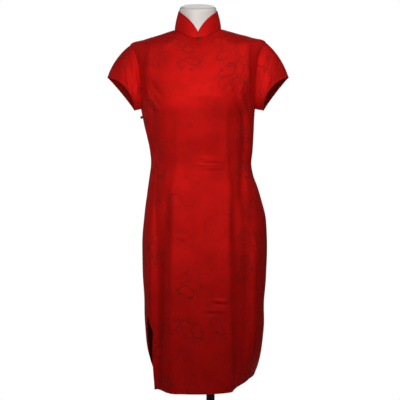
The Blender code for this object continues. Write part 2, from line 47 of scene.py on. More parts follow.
# Rings of the skin, in millimetres, then the seam's angle and how square each side is
ringColumns = ("level", "sideZ", "frontZ", "backZ", "right", "left", "front", "back",
               "sideY", "seam", "squareRight", "squareLeft")
ringRows = (
    (0, 349, 346, 361, 134, 153, 106, 104, 15, 24, 2.9, 2.2),
    (50, 400, 400, 405, 142, 169, 108, 106, 15, 24, 2.8, 2.2),
    (100, 452, 452, 453, 151.5, 182, 110, 108, 15, 24, 2.6, 2.3),
    (180, 533, 533, 533, 157.5, 194, 113, 111, 14, 24, 2.5, 2.3),
    (250, 605, 605, 605, 159, 196, 114, 114, 13, 24, 2.4, 2.3),
    (320, 676, 676, 676, 163, 201, 115, 119, 12, 24, 2.3, 2.3),
    (387, 743, 743, 743, 164, 203, 113, 124, 10, 23, 2.2, 2.3),
    (455, 812, 812, 812, 162, 202, 108, 126, 8, 22, 2.1, 2.2),
    (500, 857, 857, 857, 157, 197, 106, 122, 6, 20, 2.1, 2.1),
    (540, 897, 897, 897, 152, 187, 104, 115, 4, 18, 2.1, 2.1),
    (585, 941, 941, 941, 146, 173, 102, 104, 2, 16, 2.1, 2.1),
    (615, 971, 971, 971, 141, 162, 100, 96, 0, 14, 2.1, 2.1),
    (650, 1006, 1006, 1006, 137, 155, 100, 90, -2, 12, 2.1, 2.1),
    (690, 1046, 1046, 1046, 140, 159, 104, 91, -3, 10, 2.1, 2.1),
    (725, 1080, 1080, 1080, 146, 161, 109, 93, -4, 8, 2.1, 2.1),
    (760, 1115, 1115, 1115, 155, 162, 116, 96, -5, 6, 2.1, 2.1),
    (786, 1140, 1140, 1140, 160, 163, 123, 98, -6, 4, 2.1, 2.1),
    (812, 1166, 1166, 1166, 165, 165, 130, 100, -7, 2, 2.1, 2.1),
    (850, 1208, 1203, 1203, 171, 171, 134, 102, -6, 1, 2.1, 2.1),
    (895, 1257, 1245, 1249, 179, 179, 131, 102, -4, 0, 2, 2),
    (940, 1309, 1281, 1289, 187, 187, 122, 98, -1, 0, 1.8, 1.8),
    (980, 1351, 1308, 1322, 197, 197, 110, 92, 2, 0, 1.5, 1.5),
    (1030, 1368, 1329, 1351, 154, 154, 97, 83, 2, 0, 1.6, 1.6),
    (1075, 1381, 1349, 1379, 109, 109, 81, 70, 0, 0, 1.8, 1.8),
    (1120, 1394, 1369, 1406, 67, 67, 60, 52, -4, 0, 2, 2),
)
ringTable = dict(zip(ringColumns, np.array(ringRows).T))
for name in ringColumns[:9]:
    ringTable[name] = ringTable[name] / 1000

# Long folds and the bust: ridges, and troughs where the depth is minus. Each row is the angle and level
# where it starts, those where it ends, half its width in degrees, and its depth.
foldRows = (
    (-32, -0.10, -30, 0.58, 9, 0.0035),
    (-49, -0.10, -47, 0.60, 8, -0.0060),
    (-64, -0.10, -62, 0.56, 7, 0.0030),
    (36, -0.10, 33, 0.54, 9, 0.0030),
    (51, -0.10, 49, 0.58, 7, -0.0060),
    (62, -0.10, 61, 0.52, 6, 0.0035),
    (150, -0.10, 156, 0.42, 9, -0.0050),
    (-146, -0.10, -154, 0.40, 10, -0.0050),
    (118, -0.10, 122, 0.46, 9, -0.0040),
    (-116, -0.10, -120, 0.44, 9, -0.0040),
    (33, 0.79, 33, 0.88, 19, 0.0070),
    (-33, 0.79, -33, 0.88, 19, 0.0070),
)

cut = {
    "slitTop": 0.215,
    "backWider": {"right": -0.018, "left": 0.016},
    "backWiderPower": {"right": 2.6, "left": 1.0},
    "backBehind": {"right": 0.022, "left": 0.030},
    "backEdgeForward": {"right": -20, "left": 12},
    "frontEdgeIn": 10.0,
    "hangPower": 1.2,
    "shoulderLean": {"right": 0.012, "left": 0.026},
    "leanFrom": 0.80,
    "leanOver": 0.16,
    "hemLift": 0.023,
    "hemLiftLevel": 0.12,
    "hemLiftFrom": 0.72,
    "hemLiftOver": 0.22,
    "underarm": 0.812,
    "shoulder": 0.98,
    "neck": 1.12,
    "armholeFront": 15.0,
    "armholeBack": 20.0,
    "foldEnd": 0.07,
    "tuck": 0.0013,
    "tuckDown": 0.0007,
    "held": 0.008,
}
armholeMiddle = (cut["underarm"] + cut["shoulder"]) / 2
armholeHalf = (cut["shoulder"] - cut["underarm"]) / 2


def smoothBetween(x, knownX, knownY):
    slopes = np.gradient(knownY, knownX)
    i = np.clip(np.searchsorted(knownX, x, side="right") - 1, 0, len(knownX) - 2)
    step = knownX[i + 1] - knownX[i]
    t = (x - knownX[i]) / step
    start = knownY[i] * (1 + 2 * t) * (1 - t) ** 2 + slopes[i] * step * t * (1 - t) ** 2
    end = knownY[i + 1] * t ** 2 * (3 - 2 * t) + slopes[i + 1] * step * t ** 2 * (t - 1)
    return start + end


def ring(level, name):
    return smoothBetween(level, ringTable["level"], ringTable[name])


def softStep(x):
    x = np.clip(x, 0.0, 1.0)
    return x * x * (3 - 2 * x)


def foldDepth(phi, level):
    total = np.zeros_like(phi + level)
    for lowAngle, low, highAngle, high, halfWidth, depth in foldRows:
        share = (level - low) / (high - low)
        centre = np.radians(lowAngle + (highAngle - lowAngle) * share)
        across = (phi - centre + np.pi) % (2 * np.pi) - np.pi
        ends = softStep((level - low) / cut["foldEnd"]) * softStep((high - level) / cut["foldEnd"])
        total = total + depth * ends * np.exp(-(across / np.radians(halfWidth)) ** 2)
    return total


def hang(level):
    return np.clip((cut["slitTop"] - level) / cut["slitTop"], 0.0, 1.0) ** cut["hangPower"]


def skin(phi, level, panel="front", folds=True):
    phi = np.asarray(phi, float)
    level = np.asarray(level, float)
    sine, cosine = np.sin(phi), np.cos(phi)
    half = np.where(sine > 0, ring(level, "left"), ring(level, "right"))
    power = np.where(sine > 0, ring(level, "squareLeft"), ring(level, "squareRight"))
    sideY = ring(level, "sideY")
    depth = np.where(cosine > 0, ring(level, "front") + sideY, ring(level, "back") - sideY)
    behind = 0.0
    if panel == "back":
        fall = hang(level)
        wider = [cut["backWider"][side] * fall ** cut["backWiderPower"][side] for side in ("left", "right")]
        later = [cut["backBehind"][side] * fall for side in ("left", "right")]
        half = half + np.where(sine > 0, *wider)
        behind = np.where(sine > 0, *later) * sine ** 2
    radius = (np.abs(sine / half) ** power + np.abs(cosine / depth) ** power) ** (-1 / power)
    if folds:
        radius = radius + foldDepth(phi, level)
    rise = np.where(cosine > 0, ring(level, "frontZ"), ring(level, "backZ")) - ring(level, "sideZ")
    x = radius * sine
    y = sideY - radius * cosine + behind
    z = ring(level, "sideZ") + rise * cosine ** 2
    lean = np.where(x > 0, cut["shoulderLean"]["left"], cut["shoulderLean"]["right"])
    z = z + lean * x * softStep((level - cut["leanFrom"]) / cut["leanOver"])
    low = np.clip(1 - level / cut["hemLiftLevel"], 0.0, 1.0) ** 2
    z = z + cut["hemLift"] * low * softStep((sine - cut["hemLiftFrom"]) / cut["hemLiftOver"])
    return np.stack(np.broadcast_arrays(x, y, z), axis=-1)


def unit(vectors):
    return vectors / np.maximum(np.linalg.norm(vectors, axis=-1, keepdims=True), 1e-12)


def surfaceNormal(surface, phi, level):
    step = 1e-4
    roundWay = surface(phi + step, level) - surface(phi - step, level)
    up = surface(phi, level + step) - surface(phi, level - step)
    return unit(np.cross(roundWay, up))


def skinNormal(phi, level, panel="front", folds=True):
    inside = np.clip(level, 1e-4, cut["neck"] - 1e-4)
    return surfaceNormal(lambda a, b: skin(a, b, panel, folds), phi, inside)


def armholeShare(level):
    return np.sqrt(np.clip(1 - ((level - armholeMiddle) / armholeHalf) ** 2, 0.0, 1.0))


def panelEdges(level, panel):
    seam = ring(level, "seam")
    share = armholeShare(level)
    openShare = hang(level)
    if panel == "front":
        edge = np.radians(90 - seam - cut["armholeFront"] * share)
        drawnIn = math.radians(cut["frontEdgeIn"]) * np.minimum(1.0, openShare / 0.15) ** 0.5 * (1 - openShare / 2)
        return drawnIn - edge, edge
    left, right = (seam + cut["backEdgeForward"][side] * openShare ** 2 for side in ("left", "right"))
    away = cut["armholeBack"] * share
    return np.radians(90 - left + away), np.radians(270 + right - away)


def armholeLevels(rows):
    return armholeMiddle - armholeHalf * np.cos(np.linspace(0, np.pi, rows + 1))


# Creases on the flat cloth, in millimetres: u runs round from the middle of the piece, v up it.
# Each row is fromU, fromV, toU, toV, bend, width, depth and how much one flank is steeper.
creaseFade = 0.3


def creaseHeight(u, v, rows):
    total = np.zeros_like(u)
    for *sizes, skew in rows:
        fromU, fromV, toU, toV, bend, width, depth = np.array(sizes) / 1000
        du, dv = toU - fromU, toV - fromV
        length = math.hypot(du, dv)
        along = ((u - fromU) * du + (v - fromV) * dv) / length ** 2
        bow = bend * 4 * np.clip(along, 0, 1) * (1 - np.clip(along, 0, 1))
        across = ((u - fromU) * dv - (v - fromV) * du) / length - bow
        across = across / (width * (1 + skew * np.tanh(across / width)))
        fade = softStep(along / creaseFade) * softStep((1 - along) / creaseFade)
        total += depth * fade * np.exp(-across ** 2)
    return total


# Long soft folds down the panel, in millimetres: points (v, u, depth), then the width on either side
frontBands = (
    (((0, -152, 3.4), (150, -149, 3.4), (290, -150, 3.2), (430, -152, 3), (505, -158, 3),
      (580, -162, 3), (650, -166, 3.6), (720, -172, 3.6), (790, -168, 3.4), (880, -150, 2.8)), 10, 9),
    (((0, -135, -5.6), (150, -130, -5.6), (290, -130, -5.4), (430, -130, -4.6), (505, -133, -3.8),
      (580, -132, -3.6), (650, -136, -3.4), (720, -142, -3.4), (790, -140, -3.4), (880, -128, -2.6)), 7.5, 16),
    (((0, -99, 1.6), (290, -99, 1.6), (440, -99, 1.4), (520, -99, 0.6), (600, -98, 0)), 11, 11),
    (((0, -72, 2.2), (220, -76, 2.2), (440, -74, 2.4), (580, -74, 2.2),
      (650, -60, 1.8), (730, -58, 1.8), (860, -62, 1.6)), 13, 13),
    (((0, 103, 3.2), (80, 98, 3.2), (220, 92, 3), (440, 89, 3),
      (580, 92, 3), (650, 85, 2.6), (730, 81, 2.4), (860, 83, 2.2)), 14, 10),
    (((0, 146, -3), (150, 146, -4.2), (290, 145, -4.4), (440, 142, -3.6), (505, 140, -3.4),
      (580, 132, -3.6), (650, 138, -4.2), (730, 142, -4.4), (860, 137, -4.4)), 13, 12),
    (((0, 170, -0.8), (80, 168, -2.6), (180, 163, -6.2), (290, 161, -6.8), (440, 158, -5.8),
      (505, 160, -3), (580, 158, 0.6), (650, 170, 2.8), (730, 170, 3), (860, 165, 3)), 16, 12),
    (((800, -146, 0), (860, -149, 2.6), (920, -150, 4), (980, -152, 3.6), (1060, -140, 0)), 13, 18),
    (((800, 140, 0), (860, 146, 3), (920, 150, 4.8), (980, 154, 4.4), (1060, 140, 0)), 20, 13),
)


bandFade = 0.09


def bandHeight(u, v, bands):
    total = np.zeros_like(u)
    for line, *widths in bands:
        knots = np.array(line) / 1000
        before, after = np.array(widths) / 1000
        low = np.clip(v, knots[0, 0], knots[-1, 0])
        across = u - smoothBetween(low, knots[:, 0], knots[:, 1])
        depth = smoothBetween(low, knots[:, 0], knots[:, 2])
        fade = softStep((knots[-1, 0] - v) / bandFade)
        total += depth * fade * np.exp(-(across / np.where(across < 0, before, after)) ** 2)
    return total


def groove(distance, depth, width):
    return depth * np.exp(-(distance / width) ** 2)


# A seam lies in a groove, and the cloth beside it puckers along the thread
seamSpec = {
    "groove": (0.0006, 0.0016),
    "pucker": 0.00022,
    "puckerStep": 0.0021,
    "driftStep": 0.017,
    "drift": 1.7,
    "reach": 0.007,
}


def seamDip(distance, along, depthWidth=seamSpec["groove"]):
    spec = seamSpec
    wave = np.sin(along / spec["puckerStep"] + spec["drift"] * np.sin(along / spec["driftStep"]))
    pucker = spec["pucker"] * wave * np.exp(-np.abs(distance) / spec["reach"])
    return pucker - groove(distance, *depthWidth)


# Low waves over the whole cloth, so that no part of it is quite smooth
def slack(u, v, amount):
    wave = np.sin(u / 0.019 + 2.1 * np.sin(v / 0.071)) * np.sin(v / 0.033 + 1.3 * np.sin(u / 0.047))
    return amount * (wave + 0.5 * np.sin(v / 0.017 + 3 * np.sin(u / 0.029 + 1.0)))


# Mesh helpers

def gridNormals(grid, closed, flip=False):
    if closed:
        roundWay = np.roll(grid, -1, axis=1) - np.roll(grid, 1, axis=1)
    else:
        roundWay = np.gradient(grid, axis=1)
    normals = unit(np.cross(roundWay, np.gradient(grid, axis=0)))
    return -normals if flip else normals


def gridArea(grid, closed):
    after = np.concatenate([grid, grid[:, :1]], axis=1) if closed else grid
    a, b, c, d = after[:-1, :-1], after[:-1, 1:], after[1:, 1:], after[1:, :-1]
    return 0.5 * float(np.linalg.norm(np.cross(c - a, d - b), axis=-1).sum())


def placed(name, mesh, paint):
    mesh.materials.append(paint)
    obj = bpy.data.objects.new(name, mesh)
    bpy.context.scene.collection.objects.link(obj)
    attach(obj, "root")
    return obj


def gridMesh(name, grid, uv, closed, flip):
    rows, columns = grid.shape[:2]
    spans = columns if closed else columns - 1
    r, c = np.meshgrid(np.arange(rows - 1), np.arange(spans), indexing="ij")
    r, c = r.ravel(), c.ravel()
    corners = [(r, c), (r, c + 1), (r + 1, c + 1), (r + 1, c)]
    if flip:
        corners = corners[::-1]
    faces = np.stack([a * columns + b % columns for a, b in corners], axis=1)
    mesh = bpy.data.meshes.new(name)
    mesh.from_pydata(grid.reshape(-1, 3).tolist(), [], faces.tolist())
    layer = mesh.uv_layers.new(name="cloth")
    layer.data.foreach_set("uv", np.stack([uv[a, b] for a, b in corners], axis=1).reshape(-1))
    mesh.shade_smooth()
    mesh.update()
    return mesh


def clothPiece(name, grid, uv, closed, flip, thickness):
    obj = placed(name, gridMesh(name, grid, uv, closed, flip), satinPaint)
    obj.data.materials.append(liningPaint)
    wall = obj.modifiers.new("cloth", "SOLIDIFY")
    wall.thickness = thickness
    wall.offset = -1
    wall.use_even_offset = True
    wall.use_quality_normals = True
    wall.material_offset = 1
    return obj


def finishedMesh(name, work, sharpAngle=180):
    mesh = bpy.data.meshes.new(name)
    work.to_mesh(mesh)
    work.free()
    mesh.shade_smooth()
    if sharpAngle < 180:
        mesh.set_sharp_from_angle(angle=math.radians(sharpAngle))
    return mesh


# A closed body through rings of points, with a flat face at each end
def ringsMesh(name, rings, sharpAngle):
    work = bmesh.new()
    loops = [[work.verts.new(tuple(point)) for point in points] for points in rings]
    for low, high in zip(loops, loops[1:]):
        for k in range(len(low)):
            m = (k + 1) % len(low)
            work.faces.new((low[k], low[m], high[m], high[k]))
    work.faces.new(loops[0][::-1])
    work.faces.new(loops[-1])
    return finishedMesh(name, work, sharpAngle)


def tubeMesh(name, routes, radii, sides):
    points, faces = [], []
    for route, radius in zip(routes, radii):
        ahead = unit(np.gradient(route, axis=0))
        across = np.cross(ahead[0], (0.3, 0.9, 0.31))
        turn = np.linspace(0, 2 * np.pi, sides, endpoint=False)[:, None]
        first = sum(len(p) for p in points)
        for i, (point, way) in enumerate(zip(route, ahead)):
            across = unit(across - way * np.dot(across, way))
            size = radius[i] if np.ndim(radius) else radius
            points.append(point + size * (np.cos(turn) * across + np.sin(turn) * np.cross(way, across)))
        for i in range(first, first + (len(route) - 1) * sides, sides):
            for k in range(sides):
                m = (k + 1) % sides
                faces.append([i + k, i + m, i + sides + m, i + sides + k])
        faces.append([first + k for k in range(sides)][::-1])
        faces.append([first + (len(route) - 1) * sides + k for k in range(sides)])
    mesh = bpy.data.meshes.new(name)
    mesh.from_pydata(np.concatenate(points).tolist(), [], faces)
    mesh.shade_smooth()
    mesh.set_sharp_from_angle(angle=math.radians(60))
    return mesh


def lengthAlong(points, axis=0):
    steps = np.linalg.norm(np.diff(points, axis=axis), axis=-1)
    return np.insert(np.cumsum(steps, axis=axis), 0, 0.0, axis=axis)


def resampled(line, values, count):
    along = lengthAlong(line)
    wanted = np.linspace(0, along[-1], count)
    return np.stack([np.interp(wanted, along, values[:, i]) for i in range(3)], axis=1)


# Each stitch is a short thread that dips at both ends. It takes four of the six steps in a pitch.
stitching = {
    "pitch": 0.0034,
    "radius": 0.00022,
    "stand": 0.00012,
    "sides": 5,
    "steps": 6,
    "rise": (-0.6, 0.5, 1.0, 0.5, -0.6),
    "swell": (0.55, 0.95, 1.0, 0.95, 0.55),
}


def stitchRow(name, line, normals):
    spec = stitching
    steps, points = spec["steps"], len(spec["rise"])
    count = max(2, int(lengthAlong(line)[-1] / spec["pitch"]))
    fine = resampled(line, line, count * steps + 1)
    out = unit(resampled(line, normals, count * steps + 1))
    rise = np.array(spec["rise"])[:, None] * spec["radius"] + spec["stand"]
    parts = [slice(i * steps, i * steps + points) for i in range(count)]
    routes = [fine[part] + out[part] * rise for part in parts]
    radii = [spec["radius"] * np.array(spec["swell"])] * count
    return placed(name, tubeMesh(name, routes, radii, spec["sides"]), threadPaint)


# Materials

def newGroup(name, inputs, outputs):
    group = bpy.data.node_groups.new(name, "ShaderNodeTree")
    for kind, names in (("INPUT", inputs), ("OUTPUT", outputs)):
        for label, socketType, value in names:
            socket = group.interface.new_socket(label, in_out=kind, socket_type=socketType)
            if value is not None:
                socket.default_value = value
    return group, group.nodes.new("NodeGroupInput"), group.nodes.new("NodeGroupOutput")


def isSocket(value):
    return isinstance(value, bpy.types.NodeSocket)


def wire(value, socket):
    if isSocket(value):
        socket.id_data.links.new(value, socket)
    else:
        socket.default_value = value


# A node with its settings, and its inputs by name or number
def newNode(tree, kind, inputs, **settings):
    node = tree.nodes.new("ShaderNode" + kind)
    for name, value in settings.items():
        setattr(node, name, value)
    for name, value in inputs.items():
        wire(value, node.inputs[name])
    return node


# The same, in the tree that its inputs come from
def nextNode(kind, inputs, **settings):
    tree = next(value.id_data for value in inputs.values() if isSocket(value))
    return newNode(tree, kind, inputs, **settings)


def calc(operation, *values):
    return nextNode("Math", dict(enumerate(values)), operation=operation).outputs[0]


def vectorCalc(operation, *values):
    return nextNode("VectorMath", dict(enumerate(values)), operation=operation).outputs[0]


def ramp(value, low, high, toLow=0.0, toHigh=1.0):
    inputs = dict(enumerate((value, low, high, toLow, toHigh)))
    return nextNode("MapRange", inputs, interpolation_type="SMOOTHSTEP").outputs[0]


def noise(vector, scale, detail, output="Fac"):
    return nextNode("TexNoise", {"Vector": vector, "Scale": scale, "Detail": detail}).outputs[output]


def mixed(factor, first, second):
    return nextNode("Mix", {"Factor": factor, "A": first, "B": second}, data_type="RGBA").outputs["Result"]


def groupIn(group, **values):
    return nextNode("Group", values, node_tree=group).outputs[0]


def planePlace(vector):
    split = nextNode("SeparateXYZ", {0: vector})
    return split.outputs[0], split.outputs[1]


def planeParts(vector):
    x, y = planePlace(vector)
    radius = calc("SQRT", calc("ADD", calc("MULTIPLY", x, x), calc("MULTIPLY", y, y)))
    return x, y, radius, calc("ARCTAN2", y, x)


maskOut = (("Mask", "NodeSocketFloat", 0.0),)


# A group for one motif of the brocade, drawn in a circle of radius 1
def motifGroup(name, draw):
    tree, entry, leave = newGroup(name, (("Place", "NodeSocketVector", None),), maskOut)
    wire(draw(*planeParts(entry.outputs["Place"])), leave.inputs["Mask"])
    return tree


def drawCurl(x, y, radius, angle, turns=1.3, line=0.24):
    phase = calc("FRACT", calc("MULTIPLY_ADD", radius, turns, calc("DIVIDE", angle, -2 * math.pi)))
    off = calc("DIVIDE", calc("ABSOLUTE", calc("SUBTRACT", phase, 0.5)), turns)
    thin = calc("MULTIPLY_ADD", radius, line * 0.6, line * 0.45)
    arm = ramp(calc("SUBTRACT", off, thin), 0.02, -0.02)
    inside = ramp(radius, 1.0, 0.97)
    eye = ramp(radius, 0.30, 0.24)
    return calc("MAXIMUM", calc("MULTIPLY", arm, inside), eye)


def drawBlossom(x, y, radius, angle):
    shape = ramp(radius, 0.20, 0.16)
    for petals, reach, swell, turn in ((4.0, 0.74, 0.22, 0.0), (3.0, 0.42, 0.16, 0.6)):
        lobe = calc("ABSOLUTE", calc("COSINE", calc("MULTIPLY_ADD", angle, petals, turn)))
        edge = calc("MULTIPLY_ADD", lobe, swell, reach)
        line = ramp(calc("ABSOLUTE", calc("SUBTRACT", edge, radius)), 0.075, 0.045)
        shape = calc("MAXIMUM", shape, line)
    return shape


def drawLeaf(x, y, radius, angle):
    squared = calc("MULTIPLY", x, x)
    side = calc("ABSOLUTE", calc("MULTIPLY_ADD", squared, 0.22, y))
    edge = calc("MULTIPLY", calc("SUBTRACT", 1.0, squared), 0.36)
    body = ramp(calc("SUBTRACT", edge, side), 0.0, 0.03)
    return calc("MULTIPLY", body, ramp(side, 0.035, 0.06))


def drawArch(x, y, radius, angle, line=0.13):
    band = ramp(calc("ABSOLUTE", calc("SUBTRACT", radius, 1.0)), line * 1.2, line * 0.8)
    return calc("MULTIPLY", band, ramp(y, -0.1, 0.0))


# The woven scrolls: sprays of curls, leaves and blossom, each turned its own way, on a slow vine
brocade = {
    "spraysPerMetre": 11.5,
    "scatter": 0.62,
    "warp": 0.014,
    "warpScale": 19.0,
    "breakScale": 240.0,
    "plainScale": 6.5,
    "vineWidth": 0.149,
    "vineDrop": 0.204,
    "vineShift": 0.37,
    "vineSwing": 0.027,
    "vineHalf": 0.0019,
    "vineShare": 0.25,
    "plain": (0.36, 0.54),
    "quietMiddle": 0.055,
    "quietWidth": (0.05, 0.12),
    "quietFrom": (0.32, 0.42),
    "quietTo": (0.84, 0.94),
    "quietShare": 0.7,
    # each motif's place in the spray and its size in millimetres, then its turn in degrees
    "rows": (
        ("Arch", -18, 0, 18, 0),
        ("Arch", 18, 0, 18, 180),
        ("Arch", 4, 13, 13, 35),
        ("Curl", -28.5, -4, 8.5, 0),
        ("Curl", 29, 4, 9, 180),
        ("Curl", 11, 23.5, 7, 100),
        ("Curl", -7.5, -20, 7.5, 250),
        ("Blossom", -15, 30, 8.5, 20),
        ("Leaf", -34.5, 16.5, 8.8, 50),
        ("Leaf", 33, -16.5, 8.8, 50),
        ("Leaf", 15, -26.5, 9.2, 170),
        ("Leaf", -21, -16.5, 8, 120),
    ),
}


def brocadeGroup():
    draws = {"Curl": drawCurl, "Blossom": drawBlossom, "Leaf": drawLeaf, "Arch": drawArch}
    kinds = {kind: motifGroup("brocade" + kind, draw) for kind, draw in draws.items()}
    tree, entry, leave = newGroup("scrollBrocade", (("Cloth", "NodeSocketVector", None),), maskOut)
    cloth = entry.outputs["Cloth"]
    drift = noise(cloth, brocade["warpScale"], 1.0, "Color")
    bent = vectorCalc("MULTIPLY_ADD", drift, (brocade["warp"],) * 3, cloth)
    scatter = {"Vector": bent, "Scale": brocade["spraysPerMetre"], "Randomness": brocade["scatter"]}
    spray = nextNode("TexVoronoi", scatter, voronoi_dimensions="2D")
    local = vectorCalc("SUBTRACT", bent, spray.outputs["Position"])
    flatten = vectorCalc("MULTIPLY", local, (1, 1, 0))
    chance = nextNode("SeparateColor", {0: spray.outputs["Color"]})
    anyWay = calc("MULTIPLY", chance.outputs[0], 2 * math.pi)
    turned = nextNode("VectorRotate", {"Vector": flatten, "Angle": anyWay}, rotation_type="Z_AXIS").outputs[0]
    total = None
    for kind, *sizes, turn in brocade["rows"]:
        x, y, size = (value / 1000 for value in sizes)
        place = {"Location": (x, y, 0), "Rotation": (0, 0, math.radians(turn)), "Scale": (size,) * 3}
        spot = nextNode("Mapping", {"Vector": turned, **place}, vector_type="TEXTURE")
        mask = groupIn(kinds[kind], Place=spot.outputs[0])
        total = mask if total is None else calc("MAXIMUM", total, mask)
    total = calc("MULTIPLY", total, ramp(chance.outputs[1], 0.10, 0.35, 0.5, 1.0))
    bentX, bentY = planePlace(bent)
    width = brocade["vineWidth"]
    column = calc("FLOOR", calc("DIVIDE", bentX, width))
    x = calc("MULTIPLY_ADD", column, -width, bentX)
    lower = calc("MULTIPLY_ADD", column, brocade["vineShift"] * brocade["vineDrop"], bentY)
    swing = calc("SINE", calc("MULTIPLY", lower, 2 * math.pi / brocade["vineDrop"]))
    centre = calc("MULTIPLY_ADD", swing, brocade["vineSwing"], width / 2)
    off = calc("ABSOLUTE", calc("SUBTRACT", x, centre))
    vine = ramp(off, brocade["vineHalf"] * 1.25, brocade["vineHalf"] * 0.75, 0.0, brocade["vineShare"])
    total = calc("MAXIMUM", total, vine)
    broken = ramp(noise(cloth, brocade["breakScale"], 1.0), 0.36, 0.48, 0.4, 1.0)
    shown = ramp(noise(cloth, brocade["plainScale"], 1.0), *brocade["plain"], 0.35, 1.0)
    across, up = planePlace(cloth)
    aside = calc("ABSOLUTE", calc("SUBTRACT", across, brocade["quietMiddle"]))
    quiet = ramp(aside, *brocade["quietWidth"], 1.0, 0.0)
    quiet = calc("MULTIPLY", quiet, ramp(up, *brocade["quietFrom"]))
    quiet = calc("MULTIPLY", quiet, ramp(up, *brocade["quietTo"], 1.0, 0.0))
    shown = calc("MULTIPLY", shown, calc("MULTIPLY_ADD", quiet, -brocade["quietShare"], 1.0))
    wire(calc("MULTIPLY", calc("MULTIPLY", total, broken), shown), leave.inputs["Mask"])
    return tree


def weaveGroup():
    tree, entry, leave = newGroup(
        "satinWeave",
        (("Cloth", "NodeSocketVector", None), ("Thread", "NodeSocketFloat", 0.0005)),
        (("Height", "NodeSocketFloat", 0.0),),
    )
    threads = []
    for place, share in zip(planePlace(entry.outputs["Cloth"]), (1.0, 1.6)):
        count = calc("DIVIDE", place, calc("MULTIPLY", entry.outputs["Thread"], share))
        threads.append(calc("SINE", calc("MULTIPLY", count, 2 * math.pi)))
    both = calc("MULTIPLY_ADD", threads[0], 0.35, 0.5)
    both = calc("MULTIPLY_ADD", threads[1], 0.15, both)
    wire(both, leave.inputs["Height"])
    return tree


def newMaterial(name):
    paint = bpy.data.materials.new(name)
    paint.use_nodes = True
    tree = paint.node_tree
    return paint, tree, tree.nodes["Principled BSDF"]


def addBump(shader, height, strength, distance):
    bump = nextNode("Bump", {"Strength": strength, "Distance": distance, "Height": height})
    wire(bump.outputs[0], shader.inputs["Normal"])


satin = {
    "ground": (0.655, 0.0098, 0.0080),
    "motif": (0.310, 0.0085, 0.0072),
    "groundRoughness": 0.72,
    "motifRoughness": 0.85,
    "groundMetallic": 0.74,
    "motifMetallic": 0.14,
    "specular": 0.08,
    "deepShare": 0.88,
    "unevenScale": 14.0,
    "fineScale": 90.0,
    "roughSpread": 0.08,
    "thread": 0.00045,
    "bumpStrength": 0.6,
    "bumpDistance": 0.00080,
    "relief": -0.55,
    "weaveRelief": 0.12,
    "fineRelief": 0.7,
}


def satinMaterial(name, brocadeTree, weaveTree):
    paint, tree, shader = newMaterial(name)
    place = newNode(tree, "UVMap", {}, uv_map="cloth").outputs["UV"]
    motif = groupIn(brocadeTree, Cloth=place)
    weave = groupIn(weaveTree, Cloth=place, Thread=satin["thread"])
    uneven = noise(place, satin["unevenScale"], 2.0)
    fine = noise(place, satin["fineScale"], 3.0)
    ground = (*satin["ground"], 1.0)
    deep = (*(c * satin["deepShare"] for c in satin["ground"]), 1.0)
    base = mixed(ramp(uneven, 0.35, 0.7), ground, deep)
    wire(mixed(motif, base, (*satin["motif"], 1.0)), shader.inputs["Base Color"])
    finish = {}
    for look in ("Roughness", "Metallic"):
        low, high = satin["ground" + look], satin["motif" + look]
        finish[look] = calc("MULTIPLY_ADD", motif, high - low, low)
    rough = calc("SUBTRACT", finish["Roughness"], satin["roughSpread"] / 2)
    rough = calc("MULTIPLY_ADD", fine, satin["roughSpread"], rough)
    wire(rough, shader.inputs["Roughness"])
    wire(finish["Metallic"], shader.inputs["Metallic"])
    shader.inputs["Specular IOR Level"].default_value = satin["specular"]
    height = calc("MULTIPLY_ADD", motif, satin["relief"], calc("MULTIPLY", weave, satin["weaveRelief"]))
    height = calc("MULTIPLY_ADD", fine, satin["fineRelief"], height)
    addBump(shader, height, satin["bumpStrength"], satin["bumpDistance"])
    return paint


plain = {"broadShare": 0.12, "roughSpread": 0.12, "bumpStrength": 0.4}


def plainMaterial(name, colour, second, roughness, metallic, grainScale, grainDepth, coat=0.0, specular=0.5):
    paint, tree, shader = newMaterial(name)
    where = newNode(tree, "TexCoord", {}).outputs["Object"]
    broad = noise(where, grainScale * plain["broadShare"], 2.0)
    grain = noise(where, grainScale, 3.0)
    wire(mixed(ramp(broad, 0.3, 0.7), (*colour, 1.0), (*second, 1.0)), shader.inputs["Base Color"])
    rough = calc("MULTIPLY_ADD", grain, plain["roughSpread"], roughness - plain["roughSpread"] / 2)
    wire(rough, shader.inputs["Roughness"])
    shader.inputs["Metallic"].default_value = metallic
    shader.inputs["Coat Weight"].default_value = coat
    shader.inputs["Specular IOR Level"].default_value = specular
    addBump(shader, grain, plain["bumpStrength"], grainDepth)
    return paint


brocadeTree = brocadeGroup()
weaveTree = weaveGroup()
satinPaint = satinMaterial("redSatinBrocade", brocadeTree, weaveTree)
# The knot cord is a much darker red than the satin. Part of that is the cord's own colour and part is painted
# shade, standing in for the shadow the knots sit in.
shadedCordPaint = plainMaterial("knotCordPaintedShade", (0.16, 0.006, 0.006), (0.11, 0.004, 0.004), 0.5, 0.1, 900.0, 0.0002)
liningPaint = plainMaterial(
    "satinReverse", (0.30, 0.006, 0.004), (0.24, 0.005, 0.003), 0.8, 0.0, 1200.0, 0.0001, specular=0.06)
threadPaint = plainMaterial("redThread", (0.33, 0.004, 0.005), (0.26, 0.003, 0.004), 0.45, 0.2, 1500.0, 0.0001)
formPaint = plainMaterial(
    "whiteForm", (0.67, 0.635, 0.615), (0.63, 0.60, 0.58), 0.42, 0.0, 160.0, 0.00025, coat=0.1)
steelPaint = plainMaterial("blackSteel", (0.012, 0.012, 0.012), (0.018, 0.018, 0.019), 0.40, 0.3, 700.0, 0.00012)
print("materials made")


# Front and back panels

